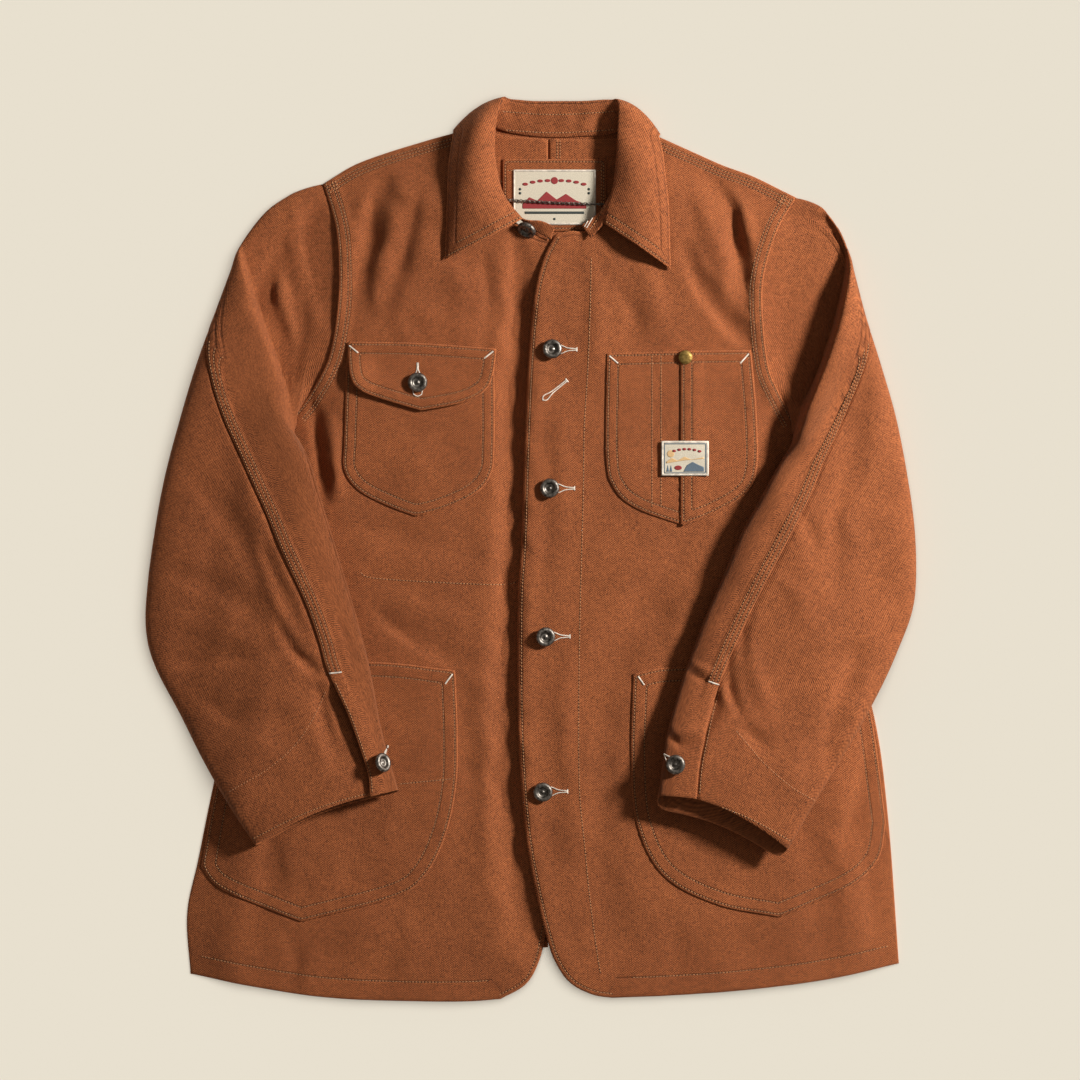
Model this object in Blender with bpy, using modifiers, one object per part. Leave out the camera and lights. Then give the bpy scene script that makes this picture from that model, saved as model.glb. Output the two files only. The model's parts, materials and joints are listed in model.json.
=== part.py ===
"""A canvas chore jacket that lies on its back, buttoned, with its sleeves laid over its fronts.

+X is towards the wearer's left, +Y towards the collar and +Z up from the surface it lies on. The
origin is on that surface, under the middle of the jacket. The sizes below are in millimetres, and
build() turns them into metres. Right and left are the wearer's.
"""

import math

import bmesh
import bpy
from mathutils import Vector, geometry

MM = 0.001

# ---- driving sizes, mm ----
CLOTH = 1.3            # wall of the canvas
LABEL_CLOTH = 0.6      # wall of the woven labels
GAP = 0.3              # air between two pieces where they meet
OVERLAY = CLOTH + GAP  # one more layer of cloth, and the air under it
NET_STEP = 27.0        # size of the panels' facets
SEAM_RISE = 2.9        # top of a front where it is sewn to the back
HOLLOW = 6.2           # how much higher a front lies away from its seams
HOLLOW_REACH = 46.0    # how far from a seam a front takes to rise
NECK_MID = 23.0        # x of the middle of the neck
NECK_LIFT = 2.2        # the back rises so much over the part of the fall folded under it
LAP_DROP = 2.7         # the right front's lap lies so much lower, under the left front
BUTTON_RADIUS = 8.5
BUTTON_HEIGHT = 4.4
SHANK_RADIUS = 2.4
EYE_RADIUS = 3.6       # the round end of a buttonhole
SNAP_RADIUS = 6.0
CHAIN_RADIUS = 0.9

# ---- the outline, as (x, y) points of smooth stretches ----
SHOULDER_RIGHT = [(-68, 362), (-94, 355), (-127, 345), (-156, 334), (-182, 318)]
SHOULDER_LEFT = [(111, 359), (143, 345), (168, 334), (195, 324), (231, 306)]
ARMHOLE_RIGHT = [(-182, 318), (-171, 281), (-168, 247), (-169, 209), (-177, 165), (-193, 135), (-207, 117)]
ARMHOLE_LEFT = [(231, 306), (214, 276), (203, 240), (201, 209), (206, 160), (215, 137), (230, 110)]
SIDE_RIGHT = [(-207, 117), (-222, 42), (-245, -63), (-276, -198), (-291, -271), (-301, -320), (-298, -372)]
SIDE_LEFT = [(230, 110), (244, 42), (275, -63), (300, -150), (312, -240), (321, -363)]
NECK_RIGHT = [(-44, 370), (-37, 342), (-33, 316), (-25, 300), (-12, 282), (4, 272), (30, 266)]
NECK_LEFT = [(90, 368), (80, 342), (76, 316), (66, 297), (48, 277), (34, 276), (21, 273)]
BACK_NECK_RIGHT = [(-44, 370), (-27, 361), (15, 357)]
BACK_NECK_LEFT = [(90, 368), (74, 358), (15, 357)]
HEM_RIGHT = [(-298, -372), (-201, -389), (-137, -394), (-60, -395), (-27, -393)]
CORNER_RIGHT = [(-27, -393), (-5, -380), (7, -359), (14, -328), (26, -280), (31, -200), (31, 60), (30, 266)]
HEM_LEFT = [(321, -363), (257, -376), (197, -384), (137, -389), (70, -392)]
FRONT_EDGE = [(21, 273), (10, 251), (2, 216), (-3, 161), (-6, 94), (-9, 5), (-12, -45), (-12, -137),
              (-10, -193), (-5, -250), (3, -296), (13, -338), (21, -361), (34, -379), (53, -389), (70, -392)]
BACK_HEM_RIGHT = [(-298, -371), (-140, -362), (15, -349)]
BACK_HEM_LEFT = [(321, -361), (170, -357), (15, -349)]

# ---- what is sewn on, as (x, y) points of smooth stretches ----
CHEST_RIGHT = [[(-160, 172), (-33, 167)], [(-33, 167), (-33, 89), (-36, 64), (-50, 47), (-78, 34), (-101, 28)],
               [(-101, 28), (-125, 37), (-150, 50), (-163, 68), (-163, 95), (-160, 172)]]
FLAP_RIGHT = [[(-160, 179), (-102, 178), (-31, 173)], [(-31, 173), (-34, 151), (-41, 137), (-60, 127), (-96, 120)],
              [(-96, 120), (-130, 130), (-149, 138), (-157, 150), (-160, 179)]]
CHEST_LEFT_INNER = [[(66, 169), (139, 171)], [(139, 171), (139, 22)], [(139, 22), (132, 20)],
                    [(132, 20), (91, 35), (72, 52), (65, 80), (66, 169)]]
CHEST_LEFT_OUTER = [[(130, 171), (191, 172)], [(191, 172), (196, 110), (196, 70), (187, 48), (160, 31), (132, 20)],
                    [(132, 20), (130, 20), (130, 171)]]
POCKET_LABEL = [[(113, 93), (154, 93)], [(154, 93), (154, 63)], [(154, 63), (113, 63)], [(113, 63), (113, 93)]]
LOWER_RIGHT = [[(-251, -106), (-140, -100), (-67, -107)],
               [(-67, -107), (-65, -160), (-66, -205), (-75, -249), (-93, -285), (-120, -304), (-201, -325)],
               [(-201, -325), (-245, -308), (-275, -294), (-288, -278)],
               [(-288, -278), (-273, -198), (-251, -106)]]
LOWER_LEFT = [[(89, -110), (135, -104), (284, -110)], [(284, -110), (297, -150), (309, -240)],
              [(309, -240), (302, -272), (276, -295), (216, -321)],
              [(216, -321), (161, -310), (115, -285), (92, -240), (87, -180), (89, -110)]]
NECK_PATCH = [[(-25, 339), (65, 339)], [(65, 339), (65, 277)], [(65, 277), (-25, 277)], [(-25, 277), (-25, 339)]]
NECK_LABEL = [[(-16, 330), (56, 330)], [(56, 330), (56, 282)], [(56, 282), (-16, 282)], [(-16, 282), (-16, 330)]]

# The large soft folds of the fronts: from and to, how far each reaches sideways, and its height.
FOLD_COLUMNS = ("x0", "y0", "x1", "y1", "reach", "height")
FOLDS = (
    (-134, 311, -158, 198, 24, -2.6),
    (-112, 303, -128, 205, 22, 2.0),
    (-87, 300, -90, 216, 22, -2.0),
    (-19, 216, -26, -306, 22, -1.6),
    (159, 318, 186, 225, 24, -2.4),
    (138, 255, 187, 179, 24, -2.0),
    (138, 7, 60, -115, 48, -2.2),
    (-132, -63, -71, -97, 24, -1.6),
)

# The sleeves, section by section from the armhole to the cuff: the fold towards the body and the
# outer fold (x, y), how far the section bows towards the body, the height of the sleeve at each
# fold, how much of it lies on the body, and where the back-arm seam crosses: 0 is the inner fold,
# 0.5 the outer one, and up to 1 the underside.
SLEEVE_COLUMNS = ("inner_x", "inner_y", "outer_x", "outer_y", "bow", "rise_in", "rise_out", "on_body", "seam")
SLEEVE_RIGHT = (
    (-210, 119, -190, 319, 25.0, 3.0, 3.0, 0.0, 0.600),
    (-213, 119, -210, 308, 17.0, 7.0, 8.0, 0.0, 0.590),
    (-215, 118, -232, 292, 9.0, 8.0, 12.0, 0.0, 0.580),
    (-216, 116, -254, 262, 4.0, 10.0, 16.0, 0.0, 0.570),
    (-215, 111, -262, 240, 2.0, 15.0, 18.0, 0.2, 0.550),
    (-211, 104, -276, 202, 0.0, 20.0, 19.0, 0.5, 0.510),
    (-204, 94, -292, 157, 0.0, 20.0, 20.0, 0.8, 0.368),
    (-192, 73, -306, 110, 0.0, 20.0, 20.0, 1.0, 0.277),
    (-179, 30, -319, 60, 0.0, 20.0, 20.0, 1.0, 0.216),
    (-168, -6, -328, 10, 0.0, 19.0, 20.0, 1.0, 0.184),
    (-156, -46, -334, -36, 0.0, 18.0, 19.0, 1.0, 0.157),
    (-147, -78, -335, -72, 0.0, 17.0, 18.0, 1.0, 0.146),
    (-140, -107, -327, -103, 0.0, 16.0, 17.0, 1.0, 0.143),
    (-133, -145, -305, -145, 0.0, 15.0, 15.0, 1.0, 0.123),
    (-127, -171, -283, -187, 0.0, 14.0, 13.0, 1.0, 0.118),
    (-121, -192, -262, -222, 3.0, 13.0, 12.0, 1.0, 0.121),
    (-116, -209, -239, -256, 7.0, 12.0, 11.0, 1.0, 0.138),
)
SLEEVE_LEFT = (
    (233, 112, 239, 307, 27.0, 3.0, 3.0, 0.0, 0.600),
    (236, 112, 254, 296, 18.0, 7.0, 8.0, 0.0, 0.590),
    (238, 111, 268, 277, 9.0, 8.0, 12.0, 0.0, 0.580),
    (238, 109, 277, 255, 4.0, 10.0, 16.0, 0.0, 0.570),
    (236, 105, 281, 238, 2.0, 15.0, 18.0, 0.2, 0.550),
    (232, 99, 291, 200, 0.0, 20.0, 19.0, 0.5, 0.520),
    (226, 87, 304, 158, 0.0, 20.0, 20.0, 0.8, 0.318),
    (212, 67, 317, 112, 0.0, 20.0, 20.0, 1.0, 0.230),
    (196, 38, 327, 60, 0.0, 20.0, 20.0, 1.0, 0.198),
    (180, 8, 333, 14, 0.0, 19.0, 20.0, 1.0, 0.176),
    (165, -28, 334, -30, 0.0, 18.0, 19.0, 1.0, 0.155),
    (151, -60, 330, -58, 0.0, 17.0, 18.0, 1.0, 0.147),
    (139, -92, 319, -87, 0.0, 16.0, 17.0, 1.0, 0.142),
    (130, -118, 306, -115, 0.0, 15.0, 16.0, 1.0, 0.140),
    (122, -144, 290, -144, 0.0, 15.0, 15.0, 1.0, 0.143),
    (116, -169, 270, -177, 0.0, 14.0, 13.0, 1.0, 0.150),
    (113, -191, 249, -211, 4.0, 13.0, 12.0, 1.0, 0.156),
    (110, -214, 221, -259, 8.0, 12.0, 11.0, 1.0, 0.167),
)
UNDER_SEAM = -0.10     # where the sleeve's other seam runs, on the underside near the inner fold
TOP_FACETS = 8         # facets across a sleeve's top piece
UNDER_FACETS = 14      # and across its under piece
SLEEVE_SEAM_GAP = 1.4  # the pieces of a sleeve stand so far apart, because their facets meet at an angle
ARMHOLE_GAP = 1.6      # the sleeves start so far outside the armholes' edges
ARMPIT_SLACK = 4.5     # and so many times further at the armpit
SLEEVE_ROUNDNESS = 14  # the higher, the tighter the sleeve's folds
CUFF_LIP = 9.0         # the under layer of a cuff reaches so much further

# The collar, station by station round the neck from the right end to the left one: where it is sewn
# on, the roll, the point that the fall's curve leans to, and the fall's outer edge, each x, y, z.
# A station with no crown and edge carries the stand only.
COLLAR_COLUMNS = ("seam", "roll", "crown", "edge")
COLLAR = (
    ((17, 269, 11.0), (20, 280, 14.5), None, None),
    ((6, 275, 10.8), (8, 285, 15.0), None, None),
    ((-9, 286, 10.6), (-8, 286, 18.0), (-36, 268, 22.0), (-75, 251, 0)),
    ((-22, 302, 9.6), (-20, 300, 18.6), (-42, 292, 23.0), (-74, 275, 0)),
    ((-30, 317, 9.0), (-27, 314, 18.8), (-46, 310, 24.0), (-73, 300, 0)),
    ((-34, 343, 8.2), (-32, 342, 18.6), (-48, 340, 24.0), (-72, 330, 0)),
    ((-38, 362, 7.2), (-31, 368, 17.6), (-46, 366, 22.0), (-70, 349, 0)),
    ((-37, 369, 6.2), (-27, 386, 15.6), (-46, 378, 19.0), (-68, 361, 7.6)),
    ((-33, 368, 5.0), (-24, 392, 12.0), (-48, 388, 10.0), (-68, 364, 4.0)),
    ((-28, 366, 4.4), (-20, 391, 9.6), (-44, 392, 0.9), (-66, 363, 0.9)),
    ((-18, 363, 3.7), (-12, 389, 8.2), (-30, 401, 0.8), (-50, 340, 0.7)),
    ((2, 360, 3.3), (2, 388, 7.6), (0, 399, 0.8), (-8, 322, 0.7)),
    ((23, 359, 3.2), (23, 388, 7.4), (23, 399, 0.8), (23, 318, 0.7)),
    ((44, 360, 3.3), (44, 388, 7.6), (46, 399, 0.8), (54, 322, 0.7)),
    ((64, 361, 3.7), (60, 389, 8.2), (78, 400, 0.8), (96, 340, 0.7)),
    ((74, 363, 4.4), (70, 390, 9.6), (92, 390, 0.9), (109, 360, 0.9)),
    ((79, 366, 5.0), (74, 390, 12.0), (95, 387, 10.0), (112, 361, 4.0)),
    ((83, 367, 6.2), (76, 384, 15.6), (92, 375, 19.0), (111, 358, 7.6)),
    ((84, 360, 7.2), (75, 364, 17.6), (92, 362, 22.0), (114, 346, 0)),
    ((77, 343, 8.2), (74, 342, 18.6), (92, 340, 24.0), (116, 328, 0)),
    ((73, 317, 9.0), (71, 314, 18.8), (92, 310, 24.0), (119, 298, 0)),
    ((64, 299, 10.6), (66, 298, 18.6), (90, 288, 23.0), (120, 270, 0)),
    ((57, 290, 11.6), (63, 282, 18.0), (92, 262, 22.0), (121, 243, 0)),
    ((44, 281, 12.0), (52, 269, 15.2), None, None),
)
ROLL_GAP = 2.0         # the stand stops so far short of the roll, where the fall starts
LEAF_REST = 1.6        # the leaves' edges lie so far above the fronts

# Places of the tack buttons and the snap. The front buttons go through the left front's buttonholes.
FRONT_BUTTONS = ((18, 173), (16, 52), (12, -77), (10, -212))
FLAP_BUTTON = (-99, 144)
SNAP_PLACE = (134, 166)
COLLAR_BUTTON = (-1, 271, 15.2)
COLLAR_BUTTON_LEAN = (-0.1, -0.3, 1)
CUFF_BUTTON_TURNS = {-1: 0.066, 1: 0.094}
CUFF_BUTTON_BACK = 6.0  # the cuffs' buttons sit so far back from the second last section
SHORT_SHANK = 0.6
CUFF_BUTTON_REST = 1.5
PATCH_REST = 0.5        # the neck patch lies so far above the back
LINE_STEP = 12.0        # size of the steps along the seams' lines
CHAIN_ROUTE = [(-24, 303.5, 8.6), (20, 301, 8.2), (64, 299.5, 8.6)]
CHAIN_STEP = 11.0


def smooth(low, high, value):
    """0 below low, 1 above high, and a soft step between them."""
    share = min(max((value - low) / (high - low), 0.0), 1.0)
    return share * share * (3.0 - 2.0 * share)


def spline(points, step):
    """Points about a step apart on a smooth curve through the given ones, ends included."""
    points = [Vector(p) for p in points]
    first = points[0] * 2 - points[1]
    last = points[-1] * 2 - points[-2]
    padded = [first, *points, last]
    made = []
    for index in range(1, len(padded) - 2):
        before, start, end, after = padded[index - 1:index + 3]
        count = max(1, round((end - start).length / step))
        for part in range(count):
            t = part / count
            made.append(0.5 * (2 * start + (end - before) * t
                               + (2 * before - 5 * start + 4 * end - after) * t ** 2
                               + (3 * start - before - 3 * end + after) * t ** 3))
    made.append(points[-1])
    return made


def loop_of(stretches, step):
    """A closed outline from smooth stretches that meet at corners."""
    made = []
    for stretch in stretches:
        made += spline(stretch, step)[:-1]
    return made


def inside(point, loop):
    """Whether a point is inside a closed outline."""
    x, y = point
    crossings = 0
    for a, b in zip(loop, loop[1:] + loop[:1]):
        if (a.y > y) != (b.y > y) and x < a.x + (y - a.y) / (b.y - a.y) * (b.x - a.x):
            crossings += 1
    return crossings % 2 == 1


def distance_to(point, line):
    """Distance from a point to a line of joined points."""
    point = Vector(point)
    best = math.inf
    for a, b in zip(line, line[1:]):
        run = b - a
        share = min(max((point - a).dot(run) / max(run.length_squared, 1e-9), 0.0), 1.0)
        best = min(best, (point - a - run * share).length)
    return best


def across(line, y):
    """x of a line of joined points at a height y, its ends carried on level."""
    if y >= line[0].y:
        return line[0].x
    for a, b in zip(line, line[1:]):
        if a.y >= y >= b.y:
            return a.x + (a.y - y) / max(a.y - b.y, 1e-6) * (b.x - a.x)
    return line[-1].x


SEAM_LINES = [spline(points, LINE_STEP) for points in (SHOULDER_RIGHT, SHOULDER_LEFT, SIDE_RIGHT, SIDE_LEFT)]
BODY_RIGHT = spline(ARMHOLE_RIGHT, LINE_STEP)[:-1] + spline(SIDE_RIGHT, LINE_STEP)
BODY_LEFT = spline(ARMHOLE_LEFT, LINE_STEP)[:-1] + spline(SIDE_LEFT, LINE_STEP)
LAP_LINE = spline(FRONT_EDGE, LINE_STEP)


def back_top(x, y):
    """Height of the back's upper face."""
    beside = 1.0 - smooth(92.0, 128.0, abs(x - NECK_MID))
    return CLOTH + NECK_LIFT * beside * smooth(222.0, 268.0, y)


def fold_height(x, y):
    """What the soft folds add to a front's height."""
    total = 0.0
    for row in FOLDS:
        fold = dict(zip(FOLD_COLUMNS, row))
        start = Vector((fold["x0"], fold["y0"]))
        run = Vector((fold["x1"], fold["y1"])) - start
        share = (Vector((x, y)) - start).dot(run) / run.length_squared
        inner = min(max(share, 0.0), 1.0)
        beside = (Vector((x, y)) - start - run * inner).length / fold["reach"]
        if beside < 1.0:
            total += fold["height"] * math.cos(beside * math.pi / 2) ** 2 * math.sin(math.pi * (0.15 + 0.7 * inner))
    return total


def front_top(x, y):
    """Height of the fronts' upper face."""
    from_seam = min(distance_to((x, y), line) for line in SEAM_LINES)
    rise = smooth(0.0, HOLLOW_REACH, from_seam)
    return back_top(x, y) + SEAM_RISE - CLOTH + rise * (HOLLOW + fold_height(x, y))


def right_front_top(x, y):
    """Height of the right front, which dips to pass under the left one."""
    edge = across(LAP_LINE, y)
    return front_top(x, y) - LAP_DROP * smooth(edge - 34.0, edge - 10.0, x)


def net(loops, step):
    """Points and triangles of a flat net that fills the first outline and has every outline's edges."""
    points = []
    edges = []
    for loop in loops:
        start = len(points)
        points += loop
        edges += [(start + i, start + (i + 1) % len(loop)) for i in range(len(loop))]
    rims = [loop + loop[:1] for loop in loops]
    low_x = min(p.x for p in loops[0])
    low_y = min(p.y for p in loops[0])
    columns = int((max(p.x for p in loops[0]) - low_x) / step) + 1
    rows = int((max(p.y for p in loops[0]) - low_y) / step) + 1
    for row in range(rows):
        for column in range(columns):
            point = Vector((low_x + (column + 0.5 * (row % 2)) * step, low_y + (row + 0.5) * step))
            if inside(point, loops[0]) and min(distance_to(point, rim) for rim in rims) > 0.42 * step:
                points.append(point)
    flat, _, faces, *_ = geometry.delaunay_2d_cdt(points, edges, [], 0, 1e-3)
    middles = [sum((flat[i] for i in face), Vector((0, 0))) / 3 for face in faces]
    return flat, faces, middles


def build(name, points, faces, material, edges=()):
    """A mesh object from points in millimetres."""
    mesh = bpy.data.meshes.new(name)
    mesh.from_pydata([Vector(p) * MM for p in points], edges, faces)
    mesh.materials.append(material)
    obj = bpy.data.objects.new(name, mesh)
    JACKET.objects.link(obj)
    return obj


def thicken(obj, wall, offset):
    """Gives an open surface a wall: offset 1 above it, -1 below it, 0 on both sides."""
    bm = bmesh.new()
    bm.from_mesh(obj.data)
    loose = [v for v in bm.verts if not v.link_faces]
    bmesh.ops.delete(bm, geom=loose, context="VERTS")
    bm.to_mesh(obj.data)
    bm.free()
    wall_maker = obj.modifiers.new("wall", "SOLIDIFY")
    wall_maker.thickness = wall * MM
    wall_maker.offset = offset
    return obj


def piece_of(name, made_net, loop, holes, height, wall, offset, material):
    """The part of a net inside an outline and outside the holes, at its height, with its wall."""
    flat, faces, middles = made_net
    kept = [face for face, middle in zip(faces, middles)
            if inside(middle, loop) and not any(inside(middle, hole) for hole in holes)]
    kept = [face if upward(flat, face) else face[::-1] for face in kept]
    points = [(p.x, p.y, height(p.x, p.y)) for p in flat]
    return thicken(build(name, points, kept, material), wall, offset)


def upward(flat, face):
    """Whether a flat triangle's points run anticlockwise."""
    a, b, c = (flat[i] for i in face)
    return (b - a).cross(c - a) > 0


def above(height, offset):
    """A height moved up."""
    return lambda x, y: height(x, y) + offset


def circle(x, y, radius, count):
    """A round outline."""
    turns = [2 * math.pi * i / count for i in range(count)]
    return [Vector((x + radius * math.cos(a), y + radius * math.sin(a))) for a in turns]


def finish(name, colour, roughness, metallic=0.0):
    """A plain finish."""
    material = bpy.data.materials.new(name)
    material.use_nodes = True
    shader = material.node_tree.nodes["Principled BSDF"]
    shader.inputs["Base Color"].default_value = (*colour, 1.0)
    shader.inputs["Roughness"].default_value = roughness
    shader.inputs["Metallic"].default_value = metallic
    return material


def make_backs():
    """The two halves of the back, and the patch and label inside its neck."""
    right = loop_of([SHOULDER_RIGHT, ARMHOLE_RIGHT, SIDE_RIGHT, BACK_HEM_RIGHT,
                     [BACK_HEM_RIGHT[-1], BACK_NECK_RIGHT[-1]], BACK_NECK_RIGHT[::-1],
                     [BACK_NECK_RIGHT[0], SHOULDER_RIGHT[0]]], NET_STEP)
    left = loop_of([SHOULDER_LEFT, ARMHOLE_LEFT, SIDE_LEFT, BACK_HEM_LEFT,
                    [BACK_HEM_LEFT[-1], BACK_NECK_LEFT[-1]], BACK_NECK_LEFT[::-1],
                    [BACK_NECK_LEFT[0], SHOULDER_LEFT[0]]], NET_STEP)
    middle = BACK_NECK_RIGHT[-1][0]
    patch = loop_of(NECK_PATCH, NET_STEP)
    label = loop_of(NECK_LABEL, NET_STEP)
    for name, loop, side in (("back_right", right, -1), ("back_left", left, 1)):
        shifted = [Vector((p.x + side * GAP / 2, p.y)) if abs(p.x - middle) < 0.01 else p for p in loop]
        piece_of(name, net([shifted], 2 * NET_STEP), shifted, [], back_top, CLOTH, -1, CANVAS)
    patch_net = net([patch, label], NET_STEP)
    piece_of("neck_patch", patch_net, patch, [], above(back_top, PATCH_REST), CLOTH, 1, CANVAS)
    piece_of("neck_label", patch_net, label, [], above(back_top, PATCH_REST + OVERLAY), LABEL_CLOTH, 1, WOVEN)


def lapped(x, y):
    """Height over a front of the outer chest piece, which climbs onto the inner one."""
    lap_end = CHEST_LEFT_INNER[1][0][0]
    return front_top(x, y) + GAP + OVERLAY * (1.0 - smooth(lap_end + 1.0, lap_end + 16.0, x))


def make_fronts():
    """The fronts, and the pockets, flap and label sewn on them, which share their points."""
    right = loop_of([SHOULDER_RIGHT, ARMHOLE_RIGHT, SIDE_RIGHT, HEM_RIGHT, CORNER_RIGHT, NECK_RIGHT[::-1],
                     [NECK_RIGHT[0], SHOULDER_RIGHT[0]]], NET_STEP)
    chest, flap, lower = (loop_of(s, NET_STEP) for s in (CHEST_RIGHT, FLAP_RIGHT, LOWER_RIGHT))
    right_net = net([right, chest, flap, lower], NET_STEP)
    piece_of("front_right", right_net, right, [], right_front_top, CLOTH, -1, CANVAS)
    piece_of("pocket_chest_right", right_net, chest, [], above(right_front_top, GAP), CLOTH, 1, CANVAS)
    piece_of("flap_chest_right", right_net, flap, [], above(right_front_top, GAP + OVERLAY), CLOTH, 1, CANVAS)
    piece_of("pocket_lower_right", right_net, lower, [], above(right_front_top, GAP), CLOTH, 1, CANVAS)

    left = loop_of([SHOULDER_LEFT, ARMHOLE_LEFT, SIDE_LEFT, HEM_LEFT, FRONT_EDGE[::-1], NECK_LEFT[::-1],
                    [NECK_LEFT[0], SHOULDER_LEFT[0]]], NET_STEP)
    inner, outer, label, lower = (loop_of(s, NET_STEP)
                                  for s in (CHEST_LEFT_INNER, CHEST_LEFT_OUTER, POCKET_LABEL, LOWER_LEFT))
    eyes = [circle(x, y, EYE_RADIUS, 8) for x, y in FRONT_BUTTONS]
    left_net = net([left, inner, outer, label, lower, *eyes], NET_STEP)
    piece_of("front_left", left_net, left, eyes, front_top, CLOTH, -1, CANVAS)
    piece_of("pocket_chest_left_inner", left_net, inner, [], above(front_top, GAP), CLOTH, 1, CANVAS)
    piece_of("pocket_chest_left_outer", left_net, outer, [], lapped, CLOTH, 1, CANVAS)
    piece_of("pocket_label", left_net, label, [], above(front_top, GAP + 2 * OVERLAY), LABEL_CLOTH, 1, WOVEN)
    piece_of("pocket_lower_left", left_net, lower, [], above(front_top, GAP), CLOTH, 1, CANVAS)


def body_lift(x, y):
    """How high a sleeve's underside lies over a body front and its pockets."""
    within = min(x - across(BODY_RIGHT, y), across(BODY_LEFT, y) - x)
    return (SEAM_RISE + 2 * OVERLAY + HOLLOW * smooth(-14.0, HOLLOW_REACH - 10.0, within)) * smooth(-50.0, -4.0, within)


def on_line(line, share):
    """The point a share of the way along a line of joined points."""
    left = share * sum((b - a).length for a, b in zip(line, line[1:]))
    for a, b in zip(line, line[1:]):
        run = (b - a).length
        if left <= run:
            return a.lerp(b, left / run)
        left -= run
    return line[-1].copy()


def armhole_point(turn, side):
    """A point on the middle of a sleeve's wall where it is set into the armhole."""
    share = 0.5 - 0.5 * math.cos(2 * math.pi * turn)
    flat = on_line(spline((ARMHOLE_RIGHT if side < 0 else ARMHOLE_LEFT)[::-1], LINE_STEP), share)
    top = front_top(flat.x, flat.y) - CLOTH / 2
    on_top = (turn % 1.0) < 0.5
    edge = math.sqrt(max(1.0 - abs(2 * share - 1) ** SLEEVE_ROUNDNESS, 0.0))
    height = CLOTH / 2 + (top - CLOTH / 2) / 2 * (1 + (edge if on_top else -edge))
    return Vector((flat.x + side * ARMHOLE_GAP, flat.y, height))


def sleeve_point(row, turn, side, is_cuff):
    """A point on the middle of a sleeve's wall, at a turn round its section."""
    share = 0.5 - 0.5 * math.cos(2 * math.pi * turn)
    inner = Vector((row["inner_x"], row["inner_y"]))
    outer = Vector((row["outer_x"], row["outer_y"]))
    flat = inner.lerp(outer, share)
    run = outer - inner
    towards_body = Vector((run.y, -run.x)) * (1 if side < 0 else -1) / run.length
    flat += towards_body * row["bow"] * math.sin(math.pi * share)
    on_top = (turn % 1.0) < 0.5
    edge = math.sqrt(max(1.0 - abs(2 * share - 1) ** SLEEVE_ROUNDNESS, 0.0))
    if is_cuff and not on_top:
        flat -= Vector((-run.y, run.x)) * side / run.length * CUFF_LIP * edge
    rise = row["rise_in"] + (row["rise_out"] - row["rise_in"]) * share
    base = CLOTH / 2 + row["on_body"] * body_lift(flat.x, flat.y)
    return Vector((flat.x, flat.y, base + rise / 2 * (1 + (edge if on_top else -edge))))


def seam_slack(row, turn):
    """Half of a seam's gap, as a share of a turn. It is wider at the armpit, where the sections crowd."""
    width = math.hypot(row["outer_x"] - row["inner_x"], row["outer_y"] - row["inner_y"])
    gap = SLEEVE_SEAM_GAP * (1.0 + ARMPIT_SLACK * (1.0 - row["on_body"]))
    return gap / 2 / (math.pi * width * max(abs(math.sin(2 * math.pi * turn)), 0.25))


def sleeve_spot(side, table, index, turn, back):
    """A point on a sleeve's outer face, so far back from a section, and the way out of the cloth there."""
    rows = [dict(zip(SLEEVE_COLUMNS, row)) for row in table]
    middle = sleeve_point(rows[index], turn, side, False)
    round_it = sleeve_point(rows[index], turn + 0.01, side, False) - sleeve_point(rows[index], turn - 0.01, side, False)
    along_it = sleeve_point(rows[index + 1], turn, side, False) - sleeve_point(rows[index - 1], turn, side, False)
    out = round_it.cross(along_it).normalized()
    out = out if out.z > 0 else -out
    return middle - along_it.normalized() * back + out * CLOTH / 2, out


def make_sleeve(side_name, side, table):
    """The top and the under piece of a sleeve, between its two seams."""
    rows = [dict(zip(SLEEVE_COLUMNS, row)) for row in table]
    for part, count in (("top", TOP_FACETS), ("under", UNDER_FACETS)):
        points = []
        for index, row in enumerate(rows):
            seam = row["seam"]
            if part == "top":
                first = UNDER_SEAM + seam_slack(row, UNDER_SEAM)
                last = seam - seam_slack(row, seam)
            else:
                first = seam + seam_slack(row, seam)
                last = 1.0 + UNDER_SEAM - seam_slack(row, UNDER_SEAM)
            for column in range(count + 1):
                turn = first + (last - first) * column / count
                if index == 0:
                    points.append(armhole_point(turn, side))
                else:
                    points.append(sleeve_point(row, turn, side, index == len(rows) - 1))
        faces = []
        for index in range(len(rows) - 1):
            for column in range(count):
                a = index * (count + 1) + column
                b = a + count + 1
                quad = (a, a + 1, b + 1, b)
                faces.append(quad if side < 0 else quad[::-1])
        thicken(build(f"sleeve_{side_name}_{part}", points, faces, CANVAS), CLOTH, 0)


def loft(name, rows, material):
    """A sheet through rows of points, with its wall on both sides."""
    count = len(rows[0])
    points = [point for row in rows for point in row]
    faces = []
    for index in range(len(rows) - 1):
        for column in range(count - 1):
            a = index * count + column
            faces.append((a, a + count, a + count + 1, a + 1))
    return thicken(build(name, points, faces, material), CLOTH, 0)


def make_collar():
    """The stand round the neck, and the fall folded over it."""
    stations = [dict(zip(COLLAR_COLUMNS, row)) for row in COLLAR]
    stand = []
    fall = []
    for station in stations:
        seam = Vector(station["seam"])
        roll = Vector(station["roll"])
        top = roll - (roll - seam).normalized() * ROLL_GAP
        stand.append([seam.lerp(top, share) for share in (0.0, 0.5, 1.0)])
        if station["edge"] is None:
            continue
        crown = Vector(station["crown"])
        edge = Vector(station["edge"])
        if edge.z == 0:
            edge.z = front_top(edge.x, edge.y) + LEAF_REST + CLOTH / 2
        steps = [index / 5 for index in range(6)]
        fall.append([roll * (1 - t) ** 2 + crown * 2 * t * (1 - t) + edge * t ** 2 for t in steps])
    loft("collar_stand", stand, CANVAS)
    loft("collar_fall", fall, CANVAS)


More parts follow.
